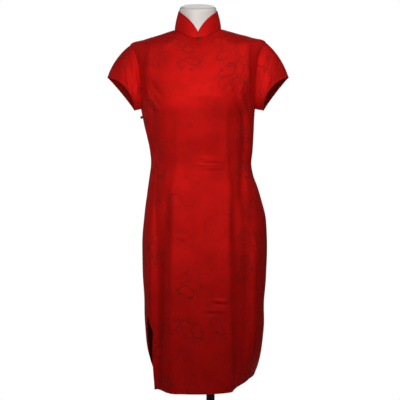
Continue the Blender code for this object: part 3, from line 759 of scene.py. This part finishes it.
panelSpec = {
    "middle": 116,
    "edgeSteps": (0.0, 0.0007, 0.0015, 0.0026, 0.0042, 0.0066),
    "edgeRoom": 0.0098,
    "rowStep": 0.0031,
    "lowLength": 0.8,
    "highLength": 0.13,
    "armholeRows": 54,
    "slitFade": 0.010,
    "armholeFade": 0.006,
    "thickness": 0.0011,
    "hemStitch": 0.022,
    # depth and width of the line that each row of stitches pulls in
    "hemGroove": (0.0004, 0.0018),
    "slitBlend": 0.012,
    "slitStitch": 0.0105,
    "slitGroove": (0.00035, 0.0016),
    # the turned edge of a slit is a little thicker
    "slitRoll": (0.0005, 0.004),
    "uvFrom": {"front": 0.04, "back": 0.11},
    "slack": 0.00035,
    # the cloth falls straighter than the figure below the bust
    "underBust": {"level": 0.742, "tall": 0.042, "wide": 0.095, "depth": 0.0046},
}


def panelLevels():
    step = panelSpec["rowStep"]
    hem = np.array(panelSpec["edgeSteps"])
    low = np.linspace(panelSpec["edgeRoom"], cut["underarm"], int(panelSpec["lowLength"] / step))[:-1]
    arm = armholeLevels(panelSpec["armholeRows"])
    neckEdge = cut["neck"] - hem[::-1]
    highRows = int(panelSpec["highLength"] / step)
    high = np.linspace(cut["shoulder"], cut["neck"] - panelSpec["edgeRoom"], highRows)[1:]
    return np.concatenate([hem, low, arm, high, neckEdge])


# 1 along the side and shoulder seams, 0 along the slits and armholes
def sewnShare(level):
    fade = panelSpec["armholeFade"]
    side = softStep((level - cut["slitTop"]) / panelSpec["slitFade"]) * softStep((cut["underarm"] - level) / fade)
    return side + softStep((level - cut["shoulder"]) / fade)


def panelGrid(panel):
    levels = panelLevels()
    start, end = panelEdges(levels, panel)
    share = np.linspace(-0.01, 1.01, 1021)
    fine = start[:, None] + (end - start)[:, None] * share
    spread = np.repeat(levels[:, None], len(share), axis=1)
    points = skin(fine, spread, panel)
    along = lengthAlong(points, axis=1)
    along = along - along[:, 10:11]
    middle = 0.0 if panel == "front" else np.pi
    near = np.array(panelSpec["edgeSteps"])
    phi, u, left, right = [], [], [], []
    for row, length in enumerate(along[:, -11]):
        inner = np.linspace(panelSpec["edgeRoom"], length - panelSpec["edgeRoom"], panelSpec["middle"])
        wanted = np.concatenate([near, inner, length - near[::-1]])
        if panel == "front":
            under = cut["tuck"] * sewnShare(levels[row])
            wanted[0], wanted[-1] = -under, length + under
        phi.append(np.interp(wanted, along[row], fine[row]))
        u.append(wanted - np.interp(middle, fine[row], along[row]))
        left.append(wanted)
        right.append(length - wanted)
    level = np.repeat(levels[:, None], len(phi[0]), axis=1)
    return np.array(phi), level, np.array(u), np.array(left), np.array(right)


frontCreases = (
    # chest and bust
    (-30, 860, 96, 857, 4, 10, 2.5, 0.3),
    (86, 878, 104, 866, 0, 5.4, 2.7, 0.2),
    (124, 858, 138, 892, 0, 4.5, 2.2, -0.2),
    (-168, 886, -108, 806, 4, 7, 3.1, 0.3),
    (-176, 862, -122, 790, 3, 7, -2.5, 0.2),
    (-152, 900, -92, 842, 4, 8, -2.3, 0),
    (112, 862, 166, 782, -4, 6, 3.4, -0.3),
    (132, 864, 172, 796, -3, 7, -2.7, -0.2),
    (100, 850, 150, 772, -4, 8, -2.3, 0),
    (150, 925, 168, 850, 0, 6.5, 2.5, 0.2),
    (-158, 940, -172, 846, 0, 6.5, 2.5, -0.2),
    (0, 1112, 1, 1040, 0, 4.1, 1.6, 0),
    (-55, 1098, -110, 985, 6, 12, 2.2, 0.2),
    (58, 1098, 116, 980, -6, 12, 2.2, -0.2),
    # waist
    (119, 718, 190, 622, -7, 4.2, 2.8, 0.3),
    (110, 700, 176, 612, -6, 7, -2.3, 0),
    (-8, 677, 78, 672, 1, 3.8, 1.6, 0),
    (2, 667, 84, 663, -1, 3.5, 1.9, 0),
    (-12, 658, 80, 654, 1, 3.8, 1.9, 0),
    (8, 648, 86, 646, 1, 3.5, 1.6, 0),
    (-186, 655, -102, 648, 1, 4.1, 2.1, 0),
    (-188, 643, -98, 638, -1, 3.8, 2.1, 0),
    (-186, 631, -104, 629, 1, 4.1, 1.9, 0),
    (-176, 700, -108, 640, 5, 6, 2.3, 0.2),
    # hip and lap
    (168, 440, 190, 398, 0, 4.3, 2.4, 0),
    (174, 426, 198, 380, 0, 4.3, 2.4, 0),
    (180, 410, 202, 362, 0, 4.3, 2.1, 0),
    (40, 270, 92, 264, 1, 4.6, 2.4, 0),
    (36, 262, 90, 255, 1, 4.9, -2.2, 0),
    (14, 240, 84, 236, -2, 4.9, 1.5, 0),
    (10, 230, 80, 226, -2, 5.1, -1.4, 0),
    (-70, 452, -20, 444, 2, 6, 1.1, 0),
    (-12, 560, -6, 100, 2, 14, -2.2, 0),
)
backCreases = (
    # shoulder blades and upper back
    (-150, 930, -50, 872, 6, 10, 1.8, 0.2),
    (148, 925, 56, 866, -6, 10, 1.8, -0.2),
    (-160, 880, -80, 820, 5, 7.5, -1.6, 0),
    (158, 884, 84, 816, -5, 7.5, -1.6, 0),
    (-168, 858, -98, 790, 4, 6, 1.8, 0.3),
    (166, 862, 104, 786, -4, 6, 1.8, -0.3),
    (-50, 1090, 46, 1086, -4, 9, 1, 0),
    (-70, 1080, -126, 975, 6, 11, 1.2, 0.2),
    (72, 1078, 122, 970, -6, 11, 1.2, -0.2),
    # small of the back
    (-90, 700, 20, 690, 3, 6, 1.2, 0.2),
    (-60, 682, 74, 676, -2, 5, -1.1, 0),
    (-100, 664, 40, 660, 2, 5, 1.3, 0.2),
    (-30, 648, 98, 642, -2, 5.5, 1.2, 0),
    (-96, 632, 30, 626, 2, 5, -1, 0),
    (-168, 690, -90, 610, 5, 5.5, 1.6, 0.2),
    (166, 694, 94, 606, -5, 5.5, 1.6, -0.2),
    (-160, 650, -100, 575, 4, 6, -1.2, 0),
    (162, 646, 104, 572, -4, 6, -1.2, 0),
    # seat and thighs
    (-110, 350, 10, 320, 6, 8, 1.4, 0.3),
    (108, 340, 10, 300, -6, 8, 1.3, -0.3),
    (-90, 300, 50, 286, 3, 6, -1, 0),
    (-168, 440, -120, 350, 4, 6, 1.2, 0),
    (172, 436, 124, 346, -4, 6, 1.2, 0),
    (-60, 360, -64, -120, 3, 11, -2.2, 0.2),
    (52, 380, 60, -120, -3, 11, -2.2, -0.2),
    (-20, 300, -16, -120, 3, 13, 2.2, 0),
    (94, 400, 104, -120, -3, 10, 2.2, 0.2),
    (-108, 390, -116, -120, 3, 10, 2.2, -0.2),
    (150, 420, 158, -120, 3, 9, -2, 0),
    (-148, 410, -152, -120, 3, 9, -2, 0),
)

panelPlan = {
    "front": {"creases": frontCreases, "bands": frontBands, "flat": (0.49, 1.14), "area": 0.39, "held": "hung"},
    "back": {"creases": backCreases, "bands": (), "flat": (0.63, 1.14), "area": 0.539, "held": "hung"},
}


def panelHeight(panel, level, u, left, right):
    spec = panelSpec
    height = creaseHeight(u, level, panelPlan[panel]["creases"])
    height += bandHeight(u, level, panelPlan[panel]["bands"]) + slack(u, level, spec["slack"])
    if panel == "front":
        drop = spec["underBust"]
        tall, wide = (level - drop["level"]) / drop["tall"], u / drop["wide"]
        height += drop["depth"] * np.exp(-tall ** 2 - wide ** 2)
    sewn = softStep((level - cut["slitTop"]) / spec["slitBlend"])
    free = 1 - sewn
    height *= softStep((cut["neck"] - level) / cut["held"])
    for distance in (left, right):
        height *= free + sewn * softStep(distance / cut["held"])
    for distance in (left, right):
        height += sewn * seamDip(np.maximum(distance, 0.0), level)
        height -= cut["tuckDown"] * softStep(-distance / cut["tuck"])
        height += free * groove(distance, *spec["slitRoll"])
        height -= free * groove(distance - spec["slitStitch"], *spec["slitGroove"])
    height += seamDip(cut["neck"] - level, u)
    return height - groove(level - spec["hemStitch"], *spec["hemGroove"])


def buildPanel(panel):
    phi, level, u, left, right = panelGrid(panel)
    height = panelHeight(panel, level, u, left, right)
    grid = skin(phi, level, panel) + height[..., None] * skinNormal(phi, level, panel)
    name = panel + "PanelCloth"
    uv = np.stack([u + panelSpec["uvFrom"][panel], level], axis=-1)
    obj = clothPiece(name, grid, uv, False, False, panelSpec["thickness"])
    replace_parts(obj, panel + "_panel")
    normals = gridNormals(grid, False)
    hemRow, top = (int(np.argmin(np.abs(level[:, 0] - at))) for at in (panelSpec["hemStitch"], cut["slitTop"]))
    trims = [stitchRow(panel + "HemStitches", grid[hemRow], normals[hemRow])]
    edges = (("Right", 6), ("Left", -7)) if panel == "front" else (("Left", 6), ("Right", -7))
    for side, column in edges:
        edge = slice(hemRow, top), column
        trims.append(stitchRow(panel + side + "SlitStitches", grid[edge], normals[edge]))
    print(name, "area %.4f" % gridArea(grid, False), "widest %.4f" % (u.max() - u.min()),
          "faces", len(obj.data.polygons))


# Sleeves

sleeveSpec = {
    "tip": (0.263, 0.002, 1.256),
    "low": {"left": (0.191, -0.006, 1.161), "right": (0.185, -0.006, 1.161)},
    "halfDepth": 0.052,
    "hollow": 0.026,
    "hollowPower": 1.6,
    "bulge": 0.009,
    "rows": 30,
    "thickness": 0.0011,
    "hemStitch": 0.010,
    "hemGroove": (0.0004, 0.0016),
    "seamBlend": 0.009,
    "seamHeld": 0.012,
    "slack": 0.00030,
    "uvFrom": {"left": 0.06, "right": 0.13},
    "flat": (0.37, 0.13),
    "area": 0.032,
}
sleeveCreases = {
    "left": (
        (70, 12, 150, 30, 4, 5.5, 1.8, 0.2),
        (60, 24, 140, 46, 4, 6, -1.4, 0),
        (52, 30, 120, 62, 5, 6, 1.6, 0.2),
        (160, 6, 172, 70, 0, 8, 1, 0),
        (230, 12, 300, 40, -4, 6, 1.6, 0),
        (250, 26, 320, 56, -4, 6, -1.4, 0),
    ),
    "right": (
        (60, 10, 150, 26, 4, 5, 2.2, 0.3),
        (54, 20, 140, 40, 4, 5.5, -1.6, 0),
        (46, 30, 128, 56, 5, 6, 1.8, 0.2),
        (100, 46, 160, 66, 3, 6, -1, 0),
        (240, 10, 310, 36, -4, 6, 1.6, 0),
        (250, 28, 320, 60, -4, 6.5, -1.4, 0),
    ),
}


def sleeveGrid(side):
    levels = armholeLevels(panelSpec["armholeRows"])
    _, front = panelEdges(levels, "front")
    back, _ = panelEdges(levels, "back")
    phi = np.concatenate([front, back[-2:0:-1]])
    level = np.concatenate([levels, levels[-2:0:-1]])
    if side == "right":
        phi = -phi
    start = skin(phi, level)
    turn = np.linspace(0, 2 * np.pi, len(phi), endpoint=False)
    tip, low = np.array(sleeveSpec["tip"]), np.array(sleeveSpec["low"][side])
    middle, halfChord = (tip + low) / 2, (tip - low) / 2
    inward = unit(np.array([-halfChord[2], 0.0, halfChord[0]]))
    frontShare = np.clip(np.sin(turn), 0.0, 1.0)
    end = middle - np.cos(turn)[:, None] * halfChord
    end = end + np.sin(turn)[:, None] * np.array([0.0, -sleeveSpec["halfDepth"], 0.0])
    end = end + sleeveSpec["hollow"] * (frontShare ** sleeveSpec["hollowPower"])[:, None] * inward
    if side == "right":
        end = end * np.array([-1, 1, 1])
    outward = unit(end - end.mean(axis=0))
    bulge = sleeveSpec["bulge"] * (0.5 - 0.5 * np.cos(turn))[:, None] * outward
    inner = np.linspace(0.055, 0.955, sleeveSpec["rows"])
    share = np.concatenate([[0, 0.008, 0.018, 0.032], inner, [0.972, 0.985, 1.0]])[:, None, None]
    return start + (end - start) * share + 4 * share * (1 - share) * bulge, skinNormal(phi, level)


def buildSleeve(side):
    spec, flip = sleeveSpec, side == "left"
    grid, atSeam = sleeveGrid(side)
    rows = len(grid)
    normals = gridNormals(grid, True, flip)
    around = lengthAlong(np.concatenate([grid, grid[:, :1]], axis=1), axis=1)
    outwards = lengthAlong(grid)
    girth = np.linspace(0, around[-1, -1], grid.shape[1] + 1)
    u = np.repeat(girth[None, :-1], rows, axis=0)
    blend = softStep(outwards / spec["seamBlend"])[..., None]
    normals = unit(atSeam * (1 - blend) + normals * blend)
    toEdge = outwards[-1] - outwards
    height = creaseHeight(u, outwards, sleeveCreases[side]) + slack(u, outwards, spec["slack"])
    height *= softStep(outwards / spec["seamHeld"])
    height += seamDip(outwards, u) - groove(toEdge - spec["hemStitch"], *spec["hemGroove"])
    height += seamDip(np.minimum(u, girth[-1] - u), outwards)
    grid = grid + height[..., None] * normals
    grid[0] = grid[0] - unit(grid[1] - grid[0]) * cut["tuck"] - atSeam * cut["tuckDown"]
    name = "sleeve" + side.capitalize()
    roundUv = np.repeat((girth + spec["uvFrom"][side])[None], rows, axis=0)
    uv = np.stack([roundUv, np.concatenate([outwards, outwards[:, :1]], axis=1)], axis=-1)
    obj = clothPiece(name + "Cloth", grid, uv, True, flip, spec["thickness"])
    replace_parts(obj, "sleeve_" + side)
    normals = gridNormals(grid, True, flip)
    line, out = [], []
    for column in [*range(grid.shape[1]), 0]:
        row = int(np.argmin(np.abs(toEdge[:, column] - spec["hemStitch"])))
        spot = np.interp(outwards[-1, column] - spec["hemStitch"], outwards[:, column], np.arange(rows))
        below = int(np.clip(spot, 0, rows - 2))
        line.append(grid[below, column] + (grid[below + 1, column] - grid[below, column]) * (spot - below))
        out.append(normals[row, column])
    trim = stitchRow(name + "Stitches", np.array(line)[2:-2], np.array(out)[2:-2])
    print(name + "Cloth", "area %.4f" % gridArea(grid, True), "girth %.3f" % girth[-1],
          "longest %.3f" % outwards[-1].max())


# Stand collar with its cord

collarSpec = {
    "topZ": 1.444,
    "topHalf": 0.0565,
    "topY": -0.012,
    "tilt": math.radians(10),
    "frontShare": 0.135,
    "curveHalf": 0.0555,
    "curvePower": 1.42,
    "endLow": 0.0002,
    "endHigh": 0.0006,
    "columns": 150,
    "rows": 13,
    "edgeSteps": (0.0, 0.0010, 0.0022, 0.0040, 0.0065),
    "edgeRoom": 0.0095,
    "height": 0.06,
    "seamHeight": 0.05,
    "slack": 0.00010,
    "stitch": 0.0030,
    "stitchGroove": (0.00035, 0.0009),
    "seamGroove": (0.0007, 0.0014),
    "uvFrom": (0.02, 0.05),
    "thickness": 0.0018,
    "pipingRadius": 0.0013,
    "pipingOut": 0.75,
    "cordPoints": 260,
    "cordSides": 14,
    "flat": (0.405, 0.052),
    "area": 0.0188,
}


def collarHeight(phi):
    across = np.abs(np.sin(phi)) * collarSpec["topHalf"] / collarSpec["curveHalf"]
    across = np.where(np.cos(phi) > 0, np.clip(across, 0.0, 1.0), 1.0)
    curve = (1 - (1 - across) ** collarSpec["curvePower"]) ** (1 / collarSpec["curvePower"])
    return collarSpec["frontShare"] + (1 - collarSpec["frontShare"]) * curve


def collarSkin(phi, share):
    base = skin(phi, cut["neck"])
    topHalf, topY = collarSpec["topHalf"], collarSpec["topY"]
    y = topY - topHalf * np.cos(phi)
    z = collarSpec["topZ"] + (y - topY) * math.tan(collarSpec["tilt"])
    top = np.stack([topHalf * np.sin(phi), y, z + np.zeros_like(phi)], axis=-1)
    share = np.asarray(share, float)[..., None]
    inward = np.clip(share, 0.0, 1.0) ** 1.5
    mixedPoints = base + (top - base) * inward
    mixedPoints[..., 2] = (base + (top - base) * share)[..., 2]
    return mixedPoints


def collarNormal(phi, share):
    return surfaceNormal(collarSkin, phi, np.asarray(share))


def buildCollar():
    spec = collarSpec
    halfFront = ringTable["front"][-1]
    shares = np.concatenate([[0, 0.02, 0.045, 0.08], np.linspace(0.12, 0.93, spec["rows"]), [0.96, 0.985, 1.0]])
    near = np.array(spec["edgeSteps"]) / halfFront
    room = spec["edgeRoom"] / halfFront
    grid, u, v = [], [], []
    for share in shares:
        end = (spec["endLow"] + (spec["endHigh"] - spec["endLow"]) * share) / halfFront
        middle = np.linspace(end + room, 2 * np.pi - end - room, spec["columns"])
        phi = np.concatenate([end + near, middle, 2 * np.pi - end - near[::-1]])
        height = share * collarHeight(phi)
        row = collarSkin(phi, height)
        out = collarNormal(phi, height)
        steps = lengthAlong(row)
        toEnd = np.minimum(steps, steps[-1] - steps)
        toTop = (1 - share) * collarHeight(phi) * spec["height"]
        lift = slack(steps, height * spec["height"], spec["slack"])
        lift -= groove(np.minimum(toEnd, toTop) - spec["stitch"], *spec["stitchGroove"])
        lift += seamDip(share * spec["seamHeight"], steps, spec["seamGroove"])
        grid.append(row + lift[:, None] * out)
        u.append(steps)
        v.append(height * spec["height"])
    grid = np.array(grid)
    grid[0] = grid[0] - unit(grid[2] - grid[1]) * cut["tuck"] - collarNormal(phi, 0.02) * cut["tuckDown"]
    uv = np.stack([u, v], axis=-1) + spec["uvFrom"]
    obj = clothPiece("collarCloth", grid, uv, False, False, spec["thickness"])
    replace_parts(obj, "collar")
    normals = gridNormals(grid, False)
    edge = grid[-1] - normals[-1] * spec["thickness"] / 2
    beyond = unit(np.cross(normals[-1], np.gradient(edge, axis=0)))
    route = edge + beyond * spec["pipingRadius"] * spec["pipingOut"]
    route = resampled(route, route, spec["cordPoints"])
    cord = tubeMesh("collarPipingCord", [route], [spec["pipingRadius"]], spec["cordSides"])
    piping = placed("collarPipingCord", cord, satinPaint)
    pipingUv(piping.data)
    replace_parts(piping, "collar_piping")
    print("collarCloth area %.4f" % gridArea(grid, False), "girth %.3f" % np.max(u),
          "height %.3f" % lengthAlong(grid[:, 80])[-1])


def pipingUv(mesh):
    layer = mesh.uv_layers.new(name="cloth")
    places = [mesh.vertices[loop.vertex_index].co for loop in mesh.loops]
    around = [(place.x * 0.05 + 0.007, place.z * 0.05 + 0.003) for place in places]
    layer.data.foreach_set("uv", np.array(around).reshape(-1))


# Knotted buttons: a ball of cord on a short stem. The loop and the stem are shares of the ball's radius.

knotSpec = {
    "neck": {"node": "neck_button", "phi": 0.0, "level": 1.117, "radius": 0.0036, "strand": 0.00105},
    "side": {"node": "side_button", "phi": None, "level": 0.789, "radius": 0.0040, "strand": 0.00115},
    "sunk": 0.0006,
    "swing": 0.42,
    "tall": 0.75,
    "uneven": 0.10,
    "loop": 0.72,
    "stem": 0.9,
}


def buildKnot(which):
    spec = knotSpec[which]
    level, radius, strand = spec["level"], spec["radius"], spec["strand"]
    phi = spec["phi"] if spec["phi"] is not None else -math.pi / 2 + math.radians(float(ring(level, "seam")))
    foot = skin(np.array(phi), np.array(level))
    normal = skinNormal(np.array(phi), np.array(level))
    centre = foot + (radius - knotSpec["sunk"]) * normal
    side = unit(np.cross(normal, (0, 0, 1)))
    up = np.cross(side, normal)
    turn = np.linspace(0, 2 * np.pi, 150, endpoint=False)
    flat = 1 + knotSpec["swing"] * np.cos(5 * turn)
    high = knotSpec["tall"] * np.sin(5 * turn)
    core = unit(np.stack([flat * np.cos(3 * turn), flat * np.sin(3 * turn), high], axis=1))
    core = core * (radius - strand) * (1 + knotSpec["uneven"] * np.sin(5 * turn + 0.6))[:, None]
    route = centre + core[:, :1] * side + core[:, 1:2] * up + core[:, 2:] * normal
    hoop = np.linspace(0, 2 * np.pi, 33)[:, None]
    loop = foot + radius * knotSpec["loop"] * (np.cos(hoop) * side + np.sin(hoop) * up) + strand * 0.55 * normal
    stem = foot + np.linspace(-1.0, 1.0, 9)[:, None] * radius * knotSpec["stem"] * normal
    routes, radii = [np.concatenate([route, route[:1]]), loop, stem], [strand, strand * 0.8, strand * 1.3]
    name = which + "KnotButton"
    obj = placed(name, tubeMesh(name, routes, radii, 8), shadedCordPaint)
    work = bmesh.new()
    bmesh.ops.create_icosphere(work, subdivisions=3, radius=radius - strand * 0.9)
    bmesh.ops.translate(work, verts=work.verts, vec=tuple(centre))
    placed(name + "Core", finishedMesh(name + "Core", work), shadedCordPaint)
    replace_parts(obj, spec["node"])


# Dress form and stand

formSpec = {
    "bottom": 0.31,
    # from, to and how many rings
    "spans": ((0.31, 0.80, 44), (0.81, 0.98, 16), (0.99, 1.10, 11)),
    "columns": 120,
    "clearLevels": (0.31, 0.55, 0.65, 0.80, 0.94, 0.99, 1.12),
    "clear": (0.012, 0.008, 0.0048, 0.0048, 0.0026, 0.0018, 0.0014),
    "wall": 0.002,
    "neckClear": 0.0014,
    "capZ": 1.460,
    "capRound": 0.009,
    "lowRound": 0.007,
    "lowHalf": 0.12,
}


# Rings that round an end off, at angles from 0 at its side to 90 at its flat face
def roundedEnd(last, radius, half, reach, axis, turns):
    centre = last.mean(axis=0)
    rings = []
    for turn in np.radians(turns):
        share = 1 - radius * (1 - math.cos(turn)) / half
        rise = reach - radius * (1 - math.sin(turn))
        rings.append(centre + (last - centre) * share + rise * axis)
    return rings


def formRings():
    spec = formSpec
    phi = np.linspace(0, 2 * np.pi, spec["columns"], endpoint=False)
    rings = []
    for level in np.concatenate([np.linspace(*span) for span in spec["spans"]]):
        clear = np.interp(level, spec["clearLevels"], spec["clear"]) + spec["wall"]
        normal = skinNormal(phi, level, folds=False)
        bust = np.maximum(0.0, foldDepth(phi, level)) * (level > 0.65)
        rings.append(skin(phi, level, folds=False) - (clear - bust[:, None]) * normal)
    inset = spec["wall"] + spec["neckClear"]
    shared = unit(skinNormal(phi, cut["neck"]) + collarNormal(phi, 0.02))
    rings.append(skin(phi, cut["neck"]) - inset * shared * 1.1)
    for share in (0.12, 0.25, 0.4, 0.55, 0.7, 0.85, 1.0):
        rings.append(collarSkin(phi, share) - inset * collarNormal(phi, share))
    axis = np.array([0.0, -math.sin(collarSpec["tilt"]), math.cos(collarSpec["tilt"])])
    height = (spec["capZ"] - rings[-1].mean(axis=0)[2]) / axis[2]
    cap = spec["capRound"], collarSpec["topHalf"], height, axis, (0, 12, 24, 36, 48, 60, 72, 82, 90)
    low = spec["lowRound"], spec["lowHalf"], 0.0, np.array([0.0, 0.0, -1.0]), (90, 68, 45, 22, 0)
    rings = roundedEnd(rings[0], *low) + rings[1:] + roundedEnd(rings[-1], *cap)
    edge = rings[-1]
    middle = edge.mean(axis=0)
    return rings + [middle + (edge - middle) * share for share in (0.97, 0.9, 0.6, 0.2)]


def buildForm():
    mesh = ringsMesh("formTorso", formRings(), 50)
    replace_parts(placed("formTorso", mesh, formPaint), "form_torso")


standSpec = {
    "x": 0.037,
    "sides": 96,
    "baseRadius": 0.165,
    "baseThick": 0.012,
    "baseEdge": 0.003,
    "hubRadius": 0.030,
    "hubHeight": 0.028,
    "poleRadius": 0.0125,
    "poleEdge": 0.0004,
    "socketRadius": 0.032,
    "socketHeight": 0.040,
    "socketEdge": 0.002,
    "gap": 0.0003,
}


def turnedPiece(name, node, profile):
    turn = np.linspace(0, 2 * np.pi, standSpec["sides"], endpoint=False)
    middle = standSpec["x"]
    rings = [[(middle + radius * math.cos(a), radius * math.sin(a), z) for a in turn] for radius, z in profile]
    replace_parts(placed(name, ringsMesh(name, rings, 35), steelPaint), node)


def roundedSide(radius, bottom, top, edge, lowEdge):
    turns = np.radians((0, 18, 36, 54, 72, 90))
    low = [(radius - lowEdge * (1 - math.sin(t)), bottom + lowEdge * (1 - math.cos(t))) for t in turns]
    high = [(radius - edge * (1 - math.cos(t)), top - edge * (1 - math.sin(t))) for t in turns]
    return low + high


def buildStand():
    spec = standSpec
    formBottom = float(ring(formSpec["bottom"], "sideZ"))
    hubBottom = spec["baseThick"] + spec["gap"]
    hubTop = hubBottom + spec["hubHeight"]
    socketTop = formBottom - spec["gap"]
    socketBottom = socketTop - spec["socketHeight"]
    base, pole = spec["baseEdge"], spec["poleEdge"]
    for name, node, radius, bottom, top, edge, lowEdge in (
        ("standBase", "base_disc", spec["baseRadius"], 0.0, spec["baseThick"], base, base),
        ("standHub", "base_hub", spec["hubRadius"], hubBottom, hubTop, base, base),
        ("standPole", "pole", spec["poleRadius"], hubTop + spec["gap"], socketBottom - spec["gap"], pole, pole),
        ("formSocket", "form_socket", spec["socketRadius"], socketBottom, socketTop, pole, spec["socketEdge"]),
    ):
        turnedPiece(name, node, roundedSide(radius, bottom, top, edge, lowEdge))


for panel in ("front", "back"):
    buildPanel(panel)
for side in ("left", "right"):
    buildSleeve(side)
buildCollar()
for which in ("neck", "side"):
    buildKnot(which)
buildForm()
buildStand()
print("pieces built")


# Floor, light and camera

studio = {
    "floorRadius": 1.02,
    "floorColour": (0.86, 0.86, 0.86, 1.0),
    "floorRoughness": 0.7,
    # the floor turns white towards its edge: from where, to where, and how white it starts
    "floorFade": (0.45, 0.99, 0.25),
    "surround": 0.045,
    "white": 1.0,
    "lamps": (
        # name, place, aim, width, height, power, spread in degrees, colour
        ("keyPanel", (-0.20, -1.12, 1.24), (-0.02, -0.06, 1.30), 1.20, 0.60, 4.5, 125, (1.0, 0.99, 0.98)),
        ("highPanel", (0.42, -0.92, 2.15), (0.02, -0.02, 1.30), 2.20, 0.50, 12.0, 180, (1.0, 0.99, 0.98)),
        ("frontFill", (-1.30, -2.90, 1.30), (0.0, 0.0, 0.95), 1.60, 1.60, 3.8, 180, (1.0, 1.0, 1.0)),
        ("leftStrip", (-1.75, 0.95, 1.25), (0.0, 0.0, 0.95), 0.60, 1.80, 4.0, 180, (1.0, 1.0, 1.0)),
        ("rightStrip", (1.75, 1.15, 1.25), (0.0, 0.0, 0.95), 0.60, 1.80, 1.0, 180, (1.0, 1.0, 1.0)),
        ("backPanel", (0.10, 2.50, 1.75), (0.0, 0.0, 1.00), 1.60, 1.40, 22.0, 180, (1.0, 1.0, 1.0)),
    ),
}


# One look for what the camera sees directly, by the share given, and another for the light it throws
def blendSeen(share, thrown, seen, output):
    blend = nextNode("MixShader", {0: share, 1: thrown.outputs[0], 2: seen.outputs[0]})
    wire(blend.outputs[0], blend.id_data.nodes[output].inputs["Surface"])


def floorMaterial():
    paint, tree, shader = newMaterial("paleFloor")
    shader.inputs["Base Color"].default_value = studio["floorColour"]
    shader.inputs["Roughness"].default_value = studio["floorRoughness"]
    where = newNode(tree, "TexCoord", {}).outputs["Object"]
    away = nextNode("VectorMath", {0: where}, operation="LENGTH").outputs["Value"]
    edge = ramp(away, *studio["floorFade"], 1.0)
    direct = newNode(tree, "LightPath", {}).outputs["Is Camera Ray"]
    glow = newNode(tree, "Emission", {"Strength": studio["white"]})
    blendSeen(calc("MULTIPLY", edge, direct), shader, glow, "Material Output")
    return paint


def buildFloor():
    work = bmesh.new()
    bmesh.ops.create_circle(work, cap_ends=True, segments=128, radius=studio["floorRadius"])
    mesh = finishedMesh("studioFloor", work)
    mesh.materials.append(floorMaterial())
    floor = bpy.data.objects.new("studioFloor", mesh)
    floor.location = (0, 0, -0.0005)
    bpy.context.scene.collection.objects.link(floor)


def buildWorld():
    white = (1.0, 1.0, 1.0, 1.0)
    world = bpy.data.worlds.new("studioWorld")
    bpy.context.scene.world = world
    world.use_nodes = True
    tree = world.node_tree
    thrown = tree.nodes["Background"]
    thrown.inputs["Color"].default_value = white
    thrown.inputs["Strength"].default_value = studio["surround"]
    seen = newNode(tree, "Background", {"Color": white, "Strength": studio["white"]})
    direct = newNode(tree, "LightPath", {}).outputs["Is Camera Ray"]
    blendSeen(direct, thrown, seen, "World Output")


def buildLamps():
    for name, place, aim, width, height, power, spread, colour in studio["lamps"]:
        lamp = bpy.data.lights.new(name, "AREA")
        lamp.shape = "RECTANGLE"
        lamp.size, lamp.size_y = width, height
        lamp.energy = power
        lamp.spread = math.radians(spread)
        lamp.color = colour
        obj = bpy.data.objects.new(name, lamp)
        obj.location = place
        way = Vector(aim) - Vector(place)
        obj.rotation_euler = way.to_track_quat("-Z", "Y").to_euler()
        obj.visible_camera = False
        bpy.context.scene.collection.objects.link(obj)


view = {"place": (0.0058, -3.6, 1.30), "down": 6.336, "lens": 111.44}


def buildCamera():
    lens = bpy.data.cameras.new("frontCamera")
    lens.lens = view["lens"]
    lens.sensor_width = 36
    obj = bpy.data.objects.new("frontCamera", lens)
    obj.location = view["place"]
    obj.rotation_euler = (math.radians(90 - view["down"]), 0, 0)
    bpy.context.scene.collection.objects.link(obj)
    bpy.context.scene.camera = obj


buildFloor()
buildWorld()
buildLamps()
buildCamera()
bpy.context.scene.view_settings.view_transform = "Standard"
print("studio ready")
